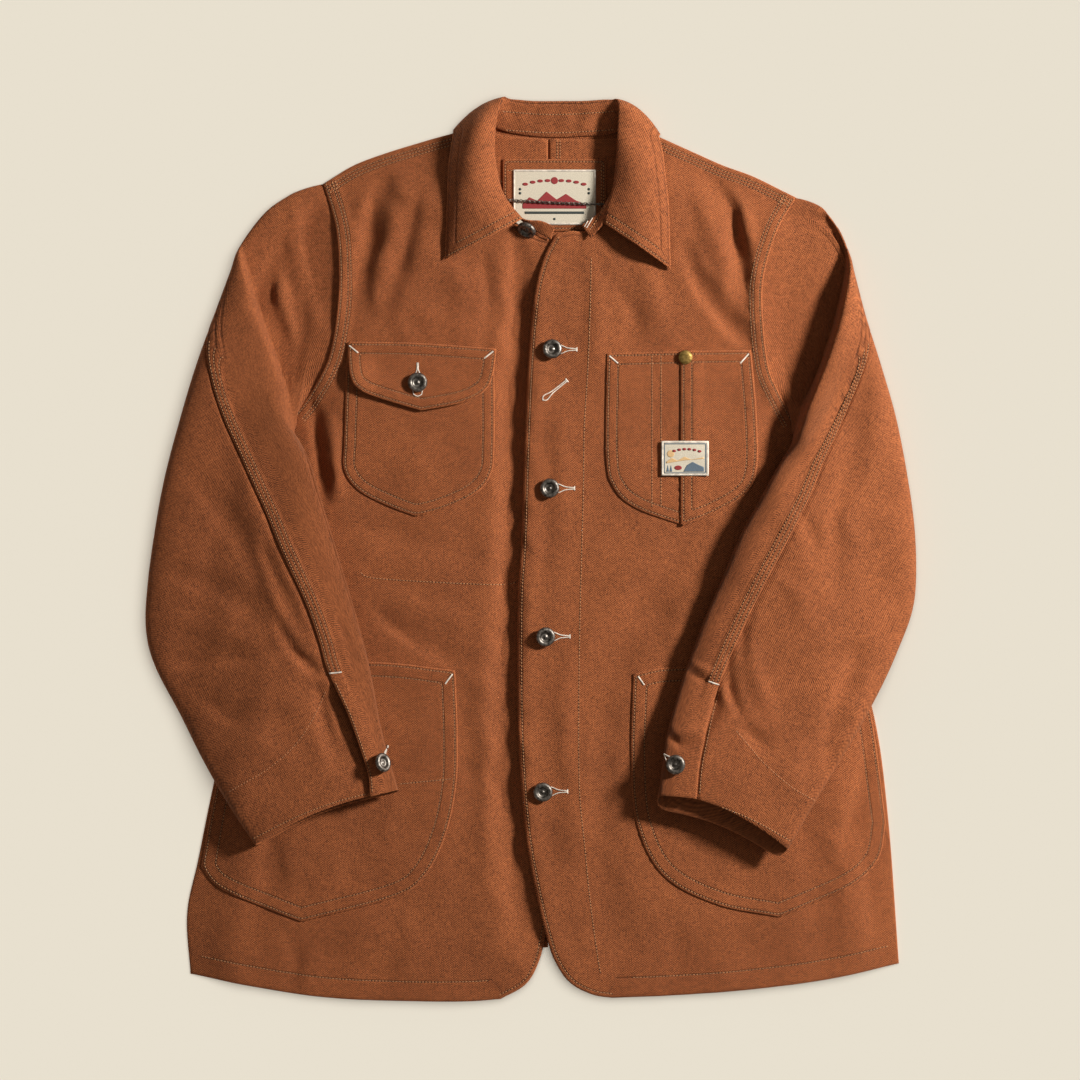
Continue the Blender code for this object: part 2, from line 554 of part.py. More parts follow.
def turned(name, profile, place, lean, material):
    """A round piece from its profile, (radius, height) from the top down, standing on a place."""
    points = [(radius, 0.0, height) for radius, height in profile]
    obj = build(name, points, [], material, [(i, i + 1) for i in range(len(points) - 1)])
    turn = obj.modifiers.new("turn", "SCREW")
    turn.steps = 14
    turn.render_steps = 14
    turn.use_merge_vertices = True
    turn.merge_threshold = 0.00005
    obj.location = Vector(place) * MM
    obj.rotation_euler = Vector((0, 0, 1)).rotation_difference(Vector(lean)).to_euler()
    return obj


def button_profile(shank):
    """A tack button: a raised ring round a dished middle, on a shank."""
    r, h = BUTTON_RADIUS, BUTTON_HEIGHT
    return [(0.0, 0.62 * h), (0.34 * r, 0.60 * h), (0.5 * r, 0.92 * h), (0.72 * r, h), (0.93 * r, 0.78 * h),
            (r, 0.42 * h), (0.93 * r, 0.12 * h), (0.72 * r, 0.0), (SHANK_RADIUS, 0.0), (SHANK_RADIUS, -shank),
            (0.0, -shank)]


def make_buttons():
    """The eight tack buttons and the pocket's snap."""
    for number, (x, y) in enumerate(FRONT_BUTTONS, 1):
        shank = LAP_DROP + 0.1
        place = (x, y, front_top(x, y) + 2 * GAP)
        turned(f"button_front_{number}", button_profile(shank), place, (0, 0, 1), NICKEL)
    x, y = FLAP_BUTTON
    profile = button_profile(SHORT_SHANK)
    place = (x, y, right_front_top(x, y) + GAP + 2 * OVERLAY + SHORT_SHANK)
    turned("button_flap", profile, place, (0, 0, 1), NICKEL)
    turned("button_collar", profile, COLLAR_BUTTON, COLLAR_BUTTON_LEAN, NICKEL)
    for name, side, table in (("button_cuff_right", -1, SLEEVE_RIGHT), ("button_cuff_left", 1, SLEEVE_LEFT)):
        spot, out = sleeve_spot(side, table, len(table) - 2, CUFF_BUTTON_TURNS[side], CUFF_BUTTON_BACK)
        turned(name, profile, spot + out * CUFF_BUTTON_REST, out, NICKEL)
    x, y = SNAP_PLACE
    r = SNAP_RADIUS
    snap = [(0.0, 2.0), (0.5 * r, 1.9), (0.85 * r, 1.2), (r, 0.5), (r, 0.0), (0.0, 0.0)]
    turned("pocket_snap", snap, (x, y, front_top(x, y) + 2 * GAP + 2 * OVERLAY), (0, 0, 1), BRASS)


def make_chain():
    """The hanging chain across the neck, as one round bar."""
    curve = bpy.data.curves.new("hanger_chain", "CURVE")
    curve.dimensions = "3D"
    curve.bevel_depth = CHAIN_RADIUS * MM
    curve.bevel_resolution = 2
    curve.use_fill_caps = True
    line = curve.splines.new("POLY")
    route = spline(CHAIN_ROUTE, CHAIN_STEP)
    line.points.add(len(route) - 1)
    for point, place in zip(line.points, route):
        point.co = (*(place * MM), 1.0)
    curve.materials.append(NICKEL)
    JACKET.objects.link(bpy.data.objects.new("hanger_chain", curve))


for obj in list(bpy.data.objects):
    bpy.data.objects.remove(obj)
JACKET = bpy.data.collections.new("chore_jacket")
bpy.context.scene.collection.children.link(JACKET)
CANVAS = finish("canvas", (0.30, 0.095, 0.035), 0.9)
WOVEN = finish("woven_label", (0.62, 0.52, 0.40), 0.8)
NICKEL = finish("nickel", (0.42, 0.38, 0.34), 0.35, 1.0)
BRASS = finish("brass", (0.55, 0.38, 0.14), 0.35, 1.0)
make_backs()
make_fronts()
make_sleeve("right", -1, SLEEVE_RIGHT)
make_sleeve("left", 1, SLEEVE_LEFT)
make_collar()
make_buttons()
make_chain()
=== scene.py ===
"""Looks of a canvas chore jacket that lies on its back, buttoned, with its sleeves over its fronts.

Lengths are in millimetres, and MM turns them into metres. +X is towards the wearer's left, +Y
towards the collar and +Z up from the floor. Right and left are the wearer's.
"""

import json
import math

import bpy
import numpy as np
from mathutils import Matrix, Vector, geometry
from mathutils.bvhtree import BVHTree

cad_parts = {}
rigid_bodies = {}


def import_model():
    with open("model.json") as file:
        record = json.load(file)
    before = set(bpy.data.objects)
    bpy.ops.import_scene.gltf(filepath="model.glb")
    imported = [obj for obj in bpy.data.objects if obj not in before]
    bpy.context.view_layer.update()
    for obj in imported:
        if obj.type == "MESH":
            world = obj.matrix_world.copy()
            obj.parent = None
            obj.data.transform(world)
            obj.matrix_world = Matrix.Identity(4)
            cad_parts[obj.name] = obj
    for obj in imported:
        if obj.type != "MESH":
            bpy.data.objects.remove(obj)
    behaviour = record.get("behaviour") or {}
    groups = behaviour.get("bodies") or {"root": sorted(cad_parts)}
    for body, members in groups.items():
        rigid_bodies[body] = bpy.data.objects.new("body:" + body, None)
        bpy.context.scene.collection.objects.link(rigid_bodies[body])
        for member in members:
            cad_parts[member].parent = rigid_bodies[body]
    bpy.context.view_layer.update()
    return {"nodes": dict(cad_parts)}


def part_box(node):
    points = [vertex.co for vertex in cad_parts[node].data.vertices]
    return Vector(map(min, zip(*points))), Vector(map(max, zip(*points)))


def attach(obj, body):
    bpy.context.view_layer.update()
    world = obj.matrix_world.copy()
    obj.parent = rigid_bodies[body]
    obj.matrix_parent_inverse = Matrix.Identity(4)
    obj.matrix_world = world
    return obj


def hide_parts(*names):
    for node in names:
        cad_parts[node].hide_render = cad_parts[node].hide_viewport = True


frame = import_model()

MM = 0.001

# ---- sizes of the cloth, the same as the frame's ----
CLOTH = 1.3            # wall of the canvas
LABEL_CLOTH = 0.6      # wall of the woven labels
GAP = 0.3              # air between two pieces where they meet
OVERLAY = CLOTH + GAP  # one more layer of cloth, and the air under it
SEAM_RISE = 2.9        # top of a front where it is sewn to the back
HOLLOW = 6.2           # how much higher a front lies away from its seams
HOLLOW_REACH = 46.0    # how far from a seam a front takes to rise
NECK_MID = 23.0        # x of the middle of the neck
NECK_LIFT = 2.2        # the back rises so much over the part of the fall folded under it
LAP_DROP = 2.7         # the right front's lap lies so much lower, under the left front
BUTTON_RADIUS = 8.5
BUTTON_HEIGHT = 4.4
SNAP_RADIUS = 6.0
ROLL_GAP = 2.0         # between the stand and the fall, where the collar rolls over
LEAF_REST = 1.6        # the leaves' edges lie so high over the fronts
UNDER_SEAM = -0.10     # the turn at which a sleeve's other seam runs, on its underside
CHAIN = [(-24, 303.5, 8.6), (20, 301, 8.2), (64, 299.5, 8.6)]

# ---- sizes of the looks ----
PANEL_STEP = 3.6       # size of the fine facets
EDGE_RINGS = (1.3, 3.4)
EDGE_DROP = 0.55       # how far a turned edge rounds down
CREASE_STRENGTH = 1.35
LAP_RISE = 2.2         # the left front's edge stands up so much between the buttons
FLAP_LIFT = 2.6        # and the flap's free edge so much
FLAP_SIDE_LIFT = 3.4   # with so much more at its right-hand side
BAND_RISE = 1.1        # a felled seam stands so much proud
BAND_WIDTH = 12.0
SHOULDER_BAND = 11.0   # the shoulders' felled seam is narrower
LAP_UNDER = 4.0        # one piece reaches so far under the next at a lapped seam
BACK_SEAM_GAP = 0.8    # half the groove at the centre-back seam
STITCH_PITCH = 2.9
STITCH_GAP = 0.75
THREAD_WIDTH = 0.72
NEEDLE_HOLE = (0.95, 1.0, 0.3)   # length, width and height of the dark grain of painted shade at a needle hole
FAR = 999.0            # stands for a row of stitches that isn't there
# Distances of the rows of stitches from a piece's edge.
ARMHOLE_ROWS = (2.2, 8.0, 10.6)
SHOULDER_ROWS = (4.5, 7.2, 9.9)
SLEEVE_ROWS = (2.2, 6.6, 10.8)
COLLAR_ROWS = (1.9, 8.3)
CHEST_ROWS = (1.8, 9.4)
OUTER_CHEST_ROWS = (2.4, 9.4)
LOWER_ROWS = (1.9, 11.4)
FRONT_EDGE_ROW = 3.6
HEM_ROW = 17.0
PATCH_ROW = 2.0
TOP_ROUNDNESS = 5.0    # a sleeve's upper face, the higher the flatter
UNDER_ROUNDNESS = 14.0
CAP_THICKNESS = 2.4    # the least height of a sleeve's upper face over its lower one

# ---- outlines, as (x, y) points of smooth stretches ----
SHOULDER_RIGHT = [(-68, 362), (-94, 355), (-127, 345), (-156, 334), (-182, 318)]
SHOULDER_LEFT = [(111, 359), (143, 345), (168, 334), (195, 324), (231, 306)]
ARMHOLE_RIGHT = [(-182, 318), (-171, 281), (-168, 247), (-169, 209), (-177, 165), (-193, 135), (-207, 117)]
ARMHOLE_LEFT = [(231, 306), (214, 276), (203, 240), (201, 209), (206, 160), (215, 137), (230, 110)]
SIDE_RIGHT = [(-207, 117), (-222, 42), (-245, -63), (-276, -198), (-291, -271), (-301, -320), (-298, -372)]
SIDE_LEFT = [(230, 110), (244, 42), (275, -63), (300, -150), (312, -240), (321, -363)]
NECK_RIGHT = [(-44, 370), (-37, 342), (-33, 316), (-25, 300), (-12, 282), (4, 272), (30, 266)]
NECK_LEFT = [(90, 368), (80, 342), (76, 316), (66, 297), (48, 277), (34, 276), (21, 273)]
BACK_NECK_RIGHT = [(-44, 370), (-27, 361), (15, 357)]
BACK_NECK_LEFT = [(90, 368), (74, 358), (15, 357)]
HEM_RIGHT = [(-298, -372), (-201, -389), (-137, -394), (-60, -395), (-27, -393)]
CORNER_RIGHT = [(-27, -393), (-5, -380), (7, -359), (14, -328), (26, -280), (31, -200), (31, 60), (30, 266)]
HEM_LEFT = [(321, -363), (257, -376), (197, -384), (137, -389), (70, -392)]
FRONT_EDGE = [(21, 273), (10, 251), (2, 216), (-3, 161), (-6, 94), (-9, 5), (-12, -45), (-12, -137),
              (-10, -193), (-5, -250), (3, -296), (13, -338), (21, -361), (34, -379), (53, -389), (70, -392)]
BACK_HEM_RIGHT = [(-298, -371), (-140, -362), (15, -349)]
BACK_HEM_LEFT = [(321, -361), (170, -357), (15, -349)]
CHEST_RIGHT = [[(-160, 172), (-33, 167)], [(-33, 167), (-33, 89), (-36, 64), (-50, 47), (-78, 34), (-101, 28)],
               [(-101, 28), (-125, 37), (-150, 50), (-163, 68), (-163, 95), (-160, 172)]]
FLAP_RIGHT = [[(-160, 179), (-102, 178), (-31, 173)], [(-31, 173), (-34, 151), (-41, 137), (-60, 127), (-96, 120)],
              [(-96, 120), (-130, 130), (-149, 138), (-157, 150), (-160, 179)]]
CHEST_LEFT_INNER = [[(66, 169), (139, 171)], [(139, 171), (139, 22)], [(139, 22), (132, 20)],
                    [(132, 20), (91, 35), (72, 52), (65, 80), (66, 169)]]
CHEST_LEFT_OUTER = [[(130, 171), (191, 172)], [(191, 172), (196, 110), (196, 70), (187, 48), (160, 31), (132, 20)],
                    [(132, 20), (130, 20), (130, 171)]]
POCKET_LABEL = [[(113, 93), (154, 93)], [(154, 93), (154, 63)], [(154, 63), (113, 63)], [(113, 63), (113, 93)]]
LOWER_RIGHT = [[(-251, -106), (-140, -100), (-67, -107)],
               [(-67, -107), (-65, -160), (-66, -205), (-75, -249), (-93, -285), (-120, -304), (-201, -325)],
               [(-201, -325), (-245, -308), (-275, -294), (-288, -278)],
               [(-288, -278), (-273, -198), (-251, -106)]]
LOWER_LEFT = [[(89, -110), (135, -104), (284, -110)], [(284, -110), (297, -150), (309, -240)],
              [(309, -240), (302, -272), (276, -295), (216, -321)],
              [(216, -321), (161, -310), (115, -285), (92, -240), (87, -180), (89, -110)]]
NECK_PATCH = [[(-25, 339), (65, 339)], [(65, 339), (65, 277)], [(65, 277), (-25, 277)], [(-25, 277), (-25, 339)]]
NECK_LABEL = [[(-16, 330), (56, 330)], [(56, 330), (56, 282)], [(56, 282), (-16, 282)], [(-16, 282), (-16, 330)]]

# Creases and ridges: from, by way of and to a point, the reach to each side at both ends, the height,
# and how steep the left side is against the right one, seen along it.
CREASE_COLUMNS = ("x0", "y0", "xm", "ym", "x1", "y1", "reach0", "reach1", "height", "skew")
FRONT_CREASES = (
    (-134, 316, -146, 262, -159, 192, 15, 20, -4.4, 0.2),
    (-146, 306, -151, 262, -153, 214, 8, 11, 1.6, 0.0),
    (-118, 306, -124, 262, -134, 222, 15, 18, 1.9, 0.0),
    (-98, 306, -108, 268, -128, 205, 12, 20, -2.0, -0.2),
    (-66, 262, -60, 225, -62, 182, 16, 24, 1.4, 0.0),
    (-44, 268, -38, 214, -42, 178, 9, 14, -1.8, 0.3),
    (-14, 268, -14, 190, -19, 110, 13, 20, -4.2, 0.2),
    (-18, 140, -20, 20, -24, -110, 18, 21, -4.2, 0.2),
    (-24, -80, -24, -200, -12, -336, 20, 24, -4.2, 0.1),
    (-192, 128, -188, 92, -182, 44, 8, 11, -5.0, 0.2),
    (-176, 116, -172, 84, -168, 44, 7, 9, 2.2, 0.0),
    (-82, 350, -90, 300, -98, 226, 52, 60, 4.4, 0.0),
    (-132, -60, -106, -80, -66, -100, 10, 16, -2.2, 0.3),
    (-128, -42, -92, -56, -50, -66, 12, 18, 1.1, 0.0),
    (-170, 20, -120, 12, -60, 2, 14, 26, -1.1, 0.1),
    (-158, -20, -110, -16, -52, -24, 14, 24, 0.9, 0.0),
    (-60, -128, -52, -200, -66, -280, 16, 26, -1.4, 0.1),
    (-150, -150, -140, -220, -158, -300, 22, 30, -1.2, 0.0),
    (-238, -210, -226, -260, -238, -330, 14, 24, -1.6, 0.2),
    (-214, -330, -206, -352, -208, -384, 12, 14, -1.0, 0.0),
    (-110, -320, -104, -350, -112, -388, 16, 20, 0.9, 0.0),
    (158, 324, 176, 290, 186, 222, 10, 15, -4.6, -0.2),
    (176, 318, 188, 284, 193, 232, 8, 12, 1.6, 0.0),
    (140, 318, 158, 274, 172, 226, 12, 16, 1.8, 0.0),
    (132, 258, 156, 214, 190, 178, 12, 18, -3.4, 0.3),
    (98, 250, 108, 214, 118, 184, 14, 20, 1.4, 0.0),
    (76, 226, 88, 204, 86, 178, 10, 16, -1.4, 0.2),
    (50, 262, 56, 212, 56, 160, 12, 18, 1.4, 0.0),
    (150, 12, 100, -44, 52, -126, 26, 44, -3.0, 0.3),
    (182, -4, 140, -58, 104, -96, 18, 26, 1.2, 0.0),
    (24, 120, 26, 60, 22, -30, 12, 16, 0.8, 0.0),
    (34, -90, 30, -160, 36, -260, 12, 18, 1.0, 0.0),
    (62, -140, 60, -220, 66, -330, 16, 24, -1.1, 0.1),
    (150, -140, 140, -220, 152, -300, 22, 28, -1.2, 0.1),
    (236, -240, 250, -290, 248, -340, 18, 26, -1.5, 0.1),
    (290, -250, 296, -300, 298, -352, 10, 16, -1.4, 0.2),
    (290, -146, 293, -192, 275, -250, 12, 18, -4.0, 0.2),
    (212, 104, 220, 70, 216, 40, 9, 14, -3.6, 0.2),
    (120, -330, 128, -356, 122, -386, 14, 18, -0.9, 0.1),
)
SLEEVE_CREASES_RIGHT = (
    (-198, 296, -189, 250, -180, 200, 9, 12, -6.0, 0.2),
    (-222, 236, -214, 206, -206, 176, 12, 14, 3.0, 0.0),
    (-206, 296, -202, 250, -190, 190, 12, 18, 1.8, 0.0),
    (-218, 262, -230, 236, -238, 206, 9, 13, -6.5, 0.2),
    (-222, 156, -214, 150, -204, 150, 3, 6, -1.6, 0.0),
    (-226, 130, -206, 136, -196, 132, 6, 8, 1.4, 0.0),
    (-268, 120, -250, 60, -216, -20, 14, 20, 1.1, 0.0),
    (-300, 70, -262, 20, -226, -30, 16, 22, -1.2, 0.2),
    (-322, -20, -276, -34, -226, -58, 14, 26, -1.4, 0.2),
    (-330, -64, -284, -66, -238, -84, 12, 22, 1.1, 0.0),
    (-326, -98, -276, -98, -206, -88, 12, 18, -1.5, 0.3),
    (-218, -64, -205, -90, -182, -110, 8, 10, -3.0, 0.3),
    (-232, 0, -216, -40, -200, -78, 8, 12, -1.6, 0.3),
    (-240, 10, -222, -40, -204, -84, 10, 14, 1.0, 0.0),
    (-286, -132, -250, -150, -204, -150, 14, 22, -1.2, 0.2),
    (-264, -176, -232, -176, -196, -196, 14, 20, 0.9, 0.0),
    (-168, -60, -158, -84, -152, -104, 6, 9, -0.9, 0.2),
    (-190, 30, -176, 10, -168, -16, 6, 9, -1.0, 0.2),
    (-186, -118, -180, -150, -168, -186, 5, 13, -2.2, 0.2),
)
SLEEVE_CREASES_LEFT = (
    (232, 290, 226, 250, 218, 200, 10, 12, 3.6, 0.0),
    (236, 304, 232, 286, 226, 262, 6, 9, 2.0, 0.0),
    (226, 282, 232, 270, 236, 262, 3, 4, -1.6, 0.2),
    (252, 290, 252, 250, 246, 200, 9, 18, -3.0, 0.2),
    (240, 200, 226, 170, 224, 136, 16, 10, -3.0, 0.0),
    (300, 150, 296, 90, 282, 20, 14, 24, 1.0, 0.0),
    (270, 60, 262, 20, 262, -30, 12, 18, -1.8, 0.2),
    (228, 34, 244, 6, 246, -20, 8, 14, -1.5, 0.2),
    (202, -22, 224, -34, 236, -60, 8, 14, 1.2, 0.0),
    (316, 0, 286, -40, 252, -52, 14, 24, -1.4, 0.2),
    (312, -70, 284, -92, 246, -100, 14, 22, -1.3, 0.2),
    (292, -112, 270, -138, 244, -150, 12, 20, 1.0, 0.0),
    (190, -60, 183, -72, 180, -92, 4, 6, -2.6, 0.3),
    (170, -92, 171, -120, 176, -144, 7, 8, -3.4, 0.2),
    (174, -136, 184, -156, 202, -172, 6, 10, -2.2, 0.2),
    (164, -118, 172, -138, 186, -157, 4, 6, 2.4, 0.0),
    (190, -84, 194, -112, 206, -140, 9, 13, 1.6, 0.0),
    (161, -118, 158, -140, 150, -160, 6, 7, -2.4, 0.2),
    (138, -98, 146, -103, 156, -108, 4, 5, 2.2, 0.0),
    (134, -106, 144, -112, 154, -116, 4, 5, -2.2, 0.1),
    (116, -162, 128, -170, 142, -166, 6, 7, -2.8, 0.1),
    (118, -152, 128, -160, 140, -156, 5, 6, 1.8, 0.1),
    (281, -92, 262, -145, 256, -190, 15, 18, -3.6, 0.2),
    (264, -150, 244, -170, 236, -200, 12, 16, -1.2, 0.2),
)
# Where a sleeve folds over its own cap: the edge of the upper layer.
CAP_FOLD_RIGHT = [(-262, 285), (-253, 257), (-245, 227), (-236, 199), (-226, 171), (-213, 134), (-206, 112),
                  (-198, 86)]
CAP_FOLD_LEFT = [(266, 310), (273, 276), (275, 245), (267, 206), (259, 178), (247, 145), (237, 122), (228, 104)]
# What differs between the right sleeve, -1, and the left one, 1.
CAP_DEPTH = {-1: 9.0, 1: 24.0}      # the cap lies so far below the upper layer
CAP_EDGE = {-1: 2.4, 1: 9.0}        # the upper layer's folded edge stands up so much
CUFF_CUT = {-1: 0.0, 1: 5.0}        # the cuff's upper edge runs back by so much beside its vent
CUFF_LIPS = {-1: 3.0, 1: 12.0}      # the cuff's lower edge shows so far past the upper one
CUFF_RISE = {-1: 1.1, 1: 1.15}      # the sleeves' free ends are so many times as full as in the frame
CUFF_LIFT = {-1: 4.0, 1: 11.0}      # and they stand so much off the body
VENT_LIFT = {-1: 2.2, 1: 0.22}      # the vent's upper edge stands up so much
VENT_SINK = {-1: (6.0, 2.0), 1: (0.3, 0.3)}   # and its lower side sinks so much, at its top and at the cuff
VENT_ROW = {-1: 2.0, 1: -2.6}       # the row of stitches beside the vent, on its upper or its lower side
CUFF_TURN = 0.46                    # the turn at which a sleeve's upper face ends, short of the outer fold

# The sleeves, section by section from the armhole to the cuff: the fold towards the body and the
# outer fold, the bow, the heights, the share on the body, and the back-arm seam's turn.
SLEEVE_COLUMNS = ("inner_x", "inner_y", "outer_x", "outer_y", "bow", "rise_in", "rise_out", "on_body", "seam")
SLEEVE_RIGHT = (
    (-208, 119, -190, 319, 25.0, 3.0, 3.0, 0.0, 0.600),
    (-206, 112, -210, 308, 17.0, 7.0, 8.0, 0.0, 0.590),
    (-206, 107, -232, 292, 9.0, 8.0, 12.0, 0.0, 0.580),
    (-207, 104, -254, 262, 4.0, 10.0, 16.0, 0.0, 0.570),
    (-207, 100, -262, 240, 2.0, 15.0, 18.0, 0.2, 0.550),
    (-205, 97, -276, 202, 0.0, 20.0, 19.0, 0.5, 0.510),
    (-202, 93, -292, 157, 0.0, 20.0, 20.0, 0.8, 0.368),
    (-192, 73, -306, 110, 0.0, 20.0, 20.0, 1.0, 0.277),
    (-179, 30, -319, 60, 0.0, 20.0, 20.0, 1.0, 0.216),
    (-168, -6, -328, 10, 0.0, 19.0, 20.0, 1.0, 0.184),
    (-156, -46, -334, -36, 0.0, 18.0, 19.0, 1.0, 0.157),
    (-147, -78, -335, -72, 0.0, 17.0, 18.0, 1.0, 0.146),
    (-140, -107, -327, -103, 0.0, 16.0, 17.0, 1.0, 0.143),
    (-133, -145, -305, -145, 0.0, 15.0, 15.0, 1.0, 0.123),
    (-127, -171, -283, -187, 0.0, 14.0, 13.0, 1.0, 0.118),
    (-121, -192, -262, -222, 3.0, 13.0, 12.0, 1.0, 0.121),
    (-116, -209, -239, -256, 7.0, 12.0, 11.0, 1.0, 0.138),
)
SLEEVE_LEFT = (
    (231, 112, 239, 307, 27.0, 3.0, 3.0, 0.0, 0.600),
    (228, 105, 254, 296, 18.0, 7.0, 8.0, 0.0, 0.590),
    (228, 101, 268, 277, 9.0, 8.0, 12.0, 0.0, 0.580),
    (229, 98, 277, 255, 4.0, 10.0, 16.0, 0.0, 0.570),
    (228, 95, 281, 238, 2.0, 15.0, 18.0, 0.2, 0.550),
    (227, 92, 291, 200, 0.0, 20.0, 19.0, 0.5, 0.520),
    (224, 86, 304, 158, 0.0, 20.0, 20.0, 0.8, 0.318),
    (212, 67, 317, 112, 0.0, 20.0, 20.0, 1.0, 0.230),
    (196, 38, 327, 60, 0.0, 20.0, 20.0, 1.0, 0.198),
    (180, 8, 333, 14, 0.0, 19.0, 20.0, 1.0, 0.176),
    (165, -28, 334, -30, 0.0, 18.0, 19.0, 1.0, 0.155),
    (151, -60, 330, -58, 0.0, 17.0, 18.0, 1.0, 0.147),
    (139, -92, 319, -87, 0.0, 16.0, 17.0, 1.0, 0.142),
    (130, -118, 306, -115, 0.0, 15.0, 16.0, 1.0, 0.140),
    (122, -144, 290, -144, 0.0, 15.0, 15.0, 1.0, 0.143),
    (116, -169, 270, -177, 0.0, 14.0, 13.0, 1.0, 0.150),
    (113, -191, 249, -211, 4.0, 13.0, 12.0, 1.0, 0.156),
    (110, -214, 221, -259, 8.0, 12.0, 11.0, 1.0, 0.167),
)
VENT_TOP = {-1: -109.0, 1: -116.0}   # y of the bar tack where the cuff's vent starts

# The collar's stations round the neck from its right end: the seam, the roll, the crown that draws the
# fall up, and the fall's outer edge, which lies on the front where its height is 0.
COLLAR = (
    ((17, 269, 11.0), (20, 280, 14.5), None, None),
    ((6, 275, 10.8), (8, 285, 15.0), None, None),
    ((-9, 286, 10.6), (-8, 286, 18.0), (-36, 268, 36.0), (-75, 251, 0)),
    ((-22, 302, 9.6), (-20, 300, 18.6), (-42, 292, 40.0), (-74, 275, 0)),
    ((-30, 317, 9.0), (-27, 314, 18.8), (-46, 310, 42.0), (-73, 300, 0)),
    ((-34, 343, 8.2), (-32, 342, 18.6), (-48, 340, 42.0), (-72, 330, 0)),
    ((-38, 362, 7.2), (-31, 368, 17.6), (-46, 366, 38.0), (-70, 349, 0)),
    ((-37, 369, 6.2), (-27, 386, 15.6), (-46, 378, 24.0), (-68, 361, 7.6)),
    ((-33, 368, 5.0), (-24, 392, 12.0), (-48, 388, 10.0), (-68, 364, 4.0)),
    ((-28, 366, 4.4), (-20, 391, 9.6), (-44, 392, 0.9), (-66, 363, 0.9)),
    ((-18, 363, 3.7), (-12, 389, 8.2), (-30, 401, 0.8), (-50, 340, 0.7)),
    ((2, 360, 3.3), (2, 388, 7.6), (0, 399, 0.8), (-8, 322, 0.7)),
    ((23, 359, 3.2), (23, 388, 7.4), (23, 399, 0.8), (23, 318, 0.7)),
    ((44, 360, 3.3), (44, 388, 7.6), (46, 399, 0.8), (54, 322, 0.7)),
    ((64, 361, 3.7), (60, 389, 8.2), (78, 400, 0.8), (96, 340, 0.7)),
    ((74, 363, 4.4), (70, 390, 9.6), (92, 390, 0.9), (109, 360, 0.9)),
    ((79, 366, 5.0), (74, 390, 12.0), (95, 387, 10.0), (112, 361, 4.0)),
    ((83, 367, 6.2), (76, 384, 15.6), (92, 375, 19.0), (111, 358, 7.6)),
    ((84, 360, 7.2), (75, 364, 17.6), (92, 362, 22.0), (114, 346, 0)),
    ((77, 343, 8.2), (74, 342, 18.6), (92, 340, 33.0), (116, 328, 0)),
    ((73, 317, 9.0), (71, 314, 18.8), (92, 310, 34.0), (119, 298, 0)),
    ((64, 299, 10.6), (66, 298, 18.6), (90, 288, 32.0), (120, 270, 0)),
    ((57, 290, 11.6), (63, 282, 18.0), (92, 262, 30.0), (121, 243, 0)),
    ((44, 281, 12.0), (52, 269, 15.2), None, None),
)
FALL_STATIONS = slice(2, 23)   # those that carry the fall
COLLAR_STEPS = 9               # rows of facets between two stations
LEAF_STATIONS = 6              # the first and last so many of them carry a leaf's outer edge

# Topstitching on the panels, as smooth lines of (x, y) points.
FACING_LEFT = [(52, 253), (51, 207), (49, 155), (46, 106), (45, 45), (42, -68), (41, -160), (42, -216),
               (46, -257), (51, -307), (57, -352), (60, -370)]
INNER_POCKET = [(-149, -21), (-139, -26), (-80, -30), (-27, -32), (-14, -30)]
CUFF_FACINGS = {
    -1: [(-178, -124), (-188, -146), (-200, -165), (-213, -179), (-231, -193), (-250, -204), (-262, -211)],
    1: [(176, -157), (188, -171), (199, -184), (223, -205), (245, -218)],
}
PENCIL_ROWS = (104.8, 112.7)   # x of the two rows that part off the pencil pocket
# White bar tacks, from and to.
BAR_COLUMNS = ("x0", "y0", "x1", "y1")
BAR_TACKS = (
    (-158.5, 176, -151, 170), (-33.5, 171, -41, 165),
    (68, 167, 75, 161), (189, 169, 182, 161),
    (-69, -110, -75, -118), (93, -112, 98, -119),
    (-174, -108, -164, -107), (153, -115, 162, -118),
)
LOOSE_BUTTONHOLE = np.array([(11.0, 130.0), (32.0, 147.0)])
FRONT_BUTTONS = [f"button_front_{number}" for number in (1, 2, 3, 4)]
# How a button leans from where the frame has it, and how far its foot is moved.
BUTTON_LEANS = {
    "button_front_1": ((0.0, 0.08, 0.0), (0.0, 0.0, 2.0)),
    "button_front_2": ((-0.12, 0.0, 0.0), (0.0, 0.0, 2.0)),
    "button_front_3": ((0.1, -0.1, 0.0), (0.0, 0.0, 2.0)),
    "button_front_4": ((-0.06, -0.1, 0.0), (0.0, 0.0, 2.0)),
    "button_flap": ((0.0, 0.0, 0.0), (0.0, 0.0, 0.0)),
    "button_cuff_right": ((0.95, 0.40, 0.0), (-1.0, 2.0, 0.0)),
    "button_cuff_left": ((-0.15, 0.0, 0.0), (-1.5, 0.0, 0.0)),
    "button_collar": ((-0.5, -0.9, 0.0), (-2.5, 7.0, -3.0)),
}
CUFF_BUTTON_REST = {"button_cuff_right": 4.2, "button_cuff_left": 1.8}   # height of the foot over the cloth

# Light and camera, in metres.
KEY_HEADING = math.radians(24.0)   # from +X towards +Y
KEY_AWAY = 1.9
KEY_HIGH = 1.16
KEY_SIZE = 0.36
KEY_LIGHT = 0.86                   # what white paper would show in the middle
FLOOR_LIGHT = 0.88
WORLD_LIGHT = 0.17
CAMERA_HIGH = 2.2
GARMENT_HIGH = 0.012               # the height in which the frame's width is measured
FRAME_WIDTH = 0.9396
FRAME_MIDDLE = (0.0074, 0.0070)


# ---- shapes in numbers ----
def smooth(low, high, value):
    """0 below low, 1 above high, and a soft step between them."""
    share = np.clip((value - low) / (high - low), 0.0, 1.0)
    return share * share * (3.0 - 2.0 * share)


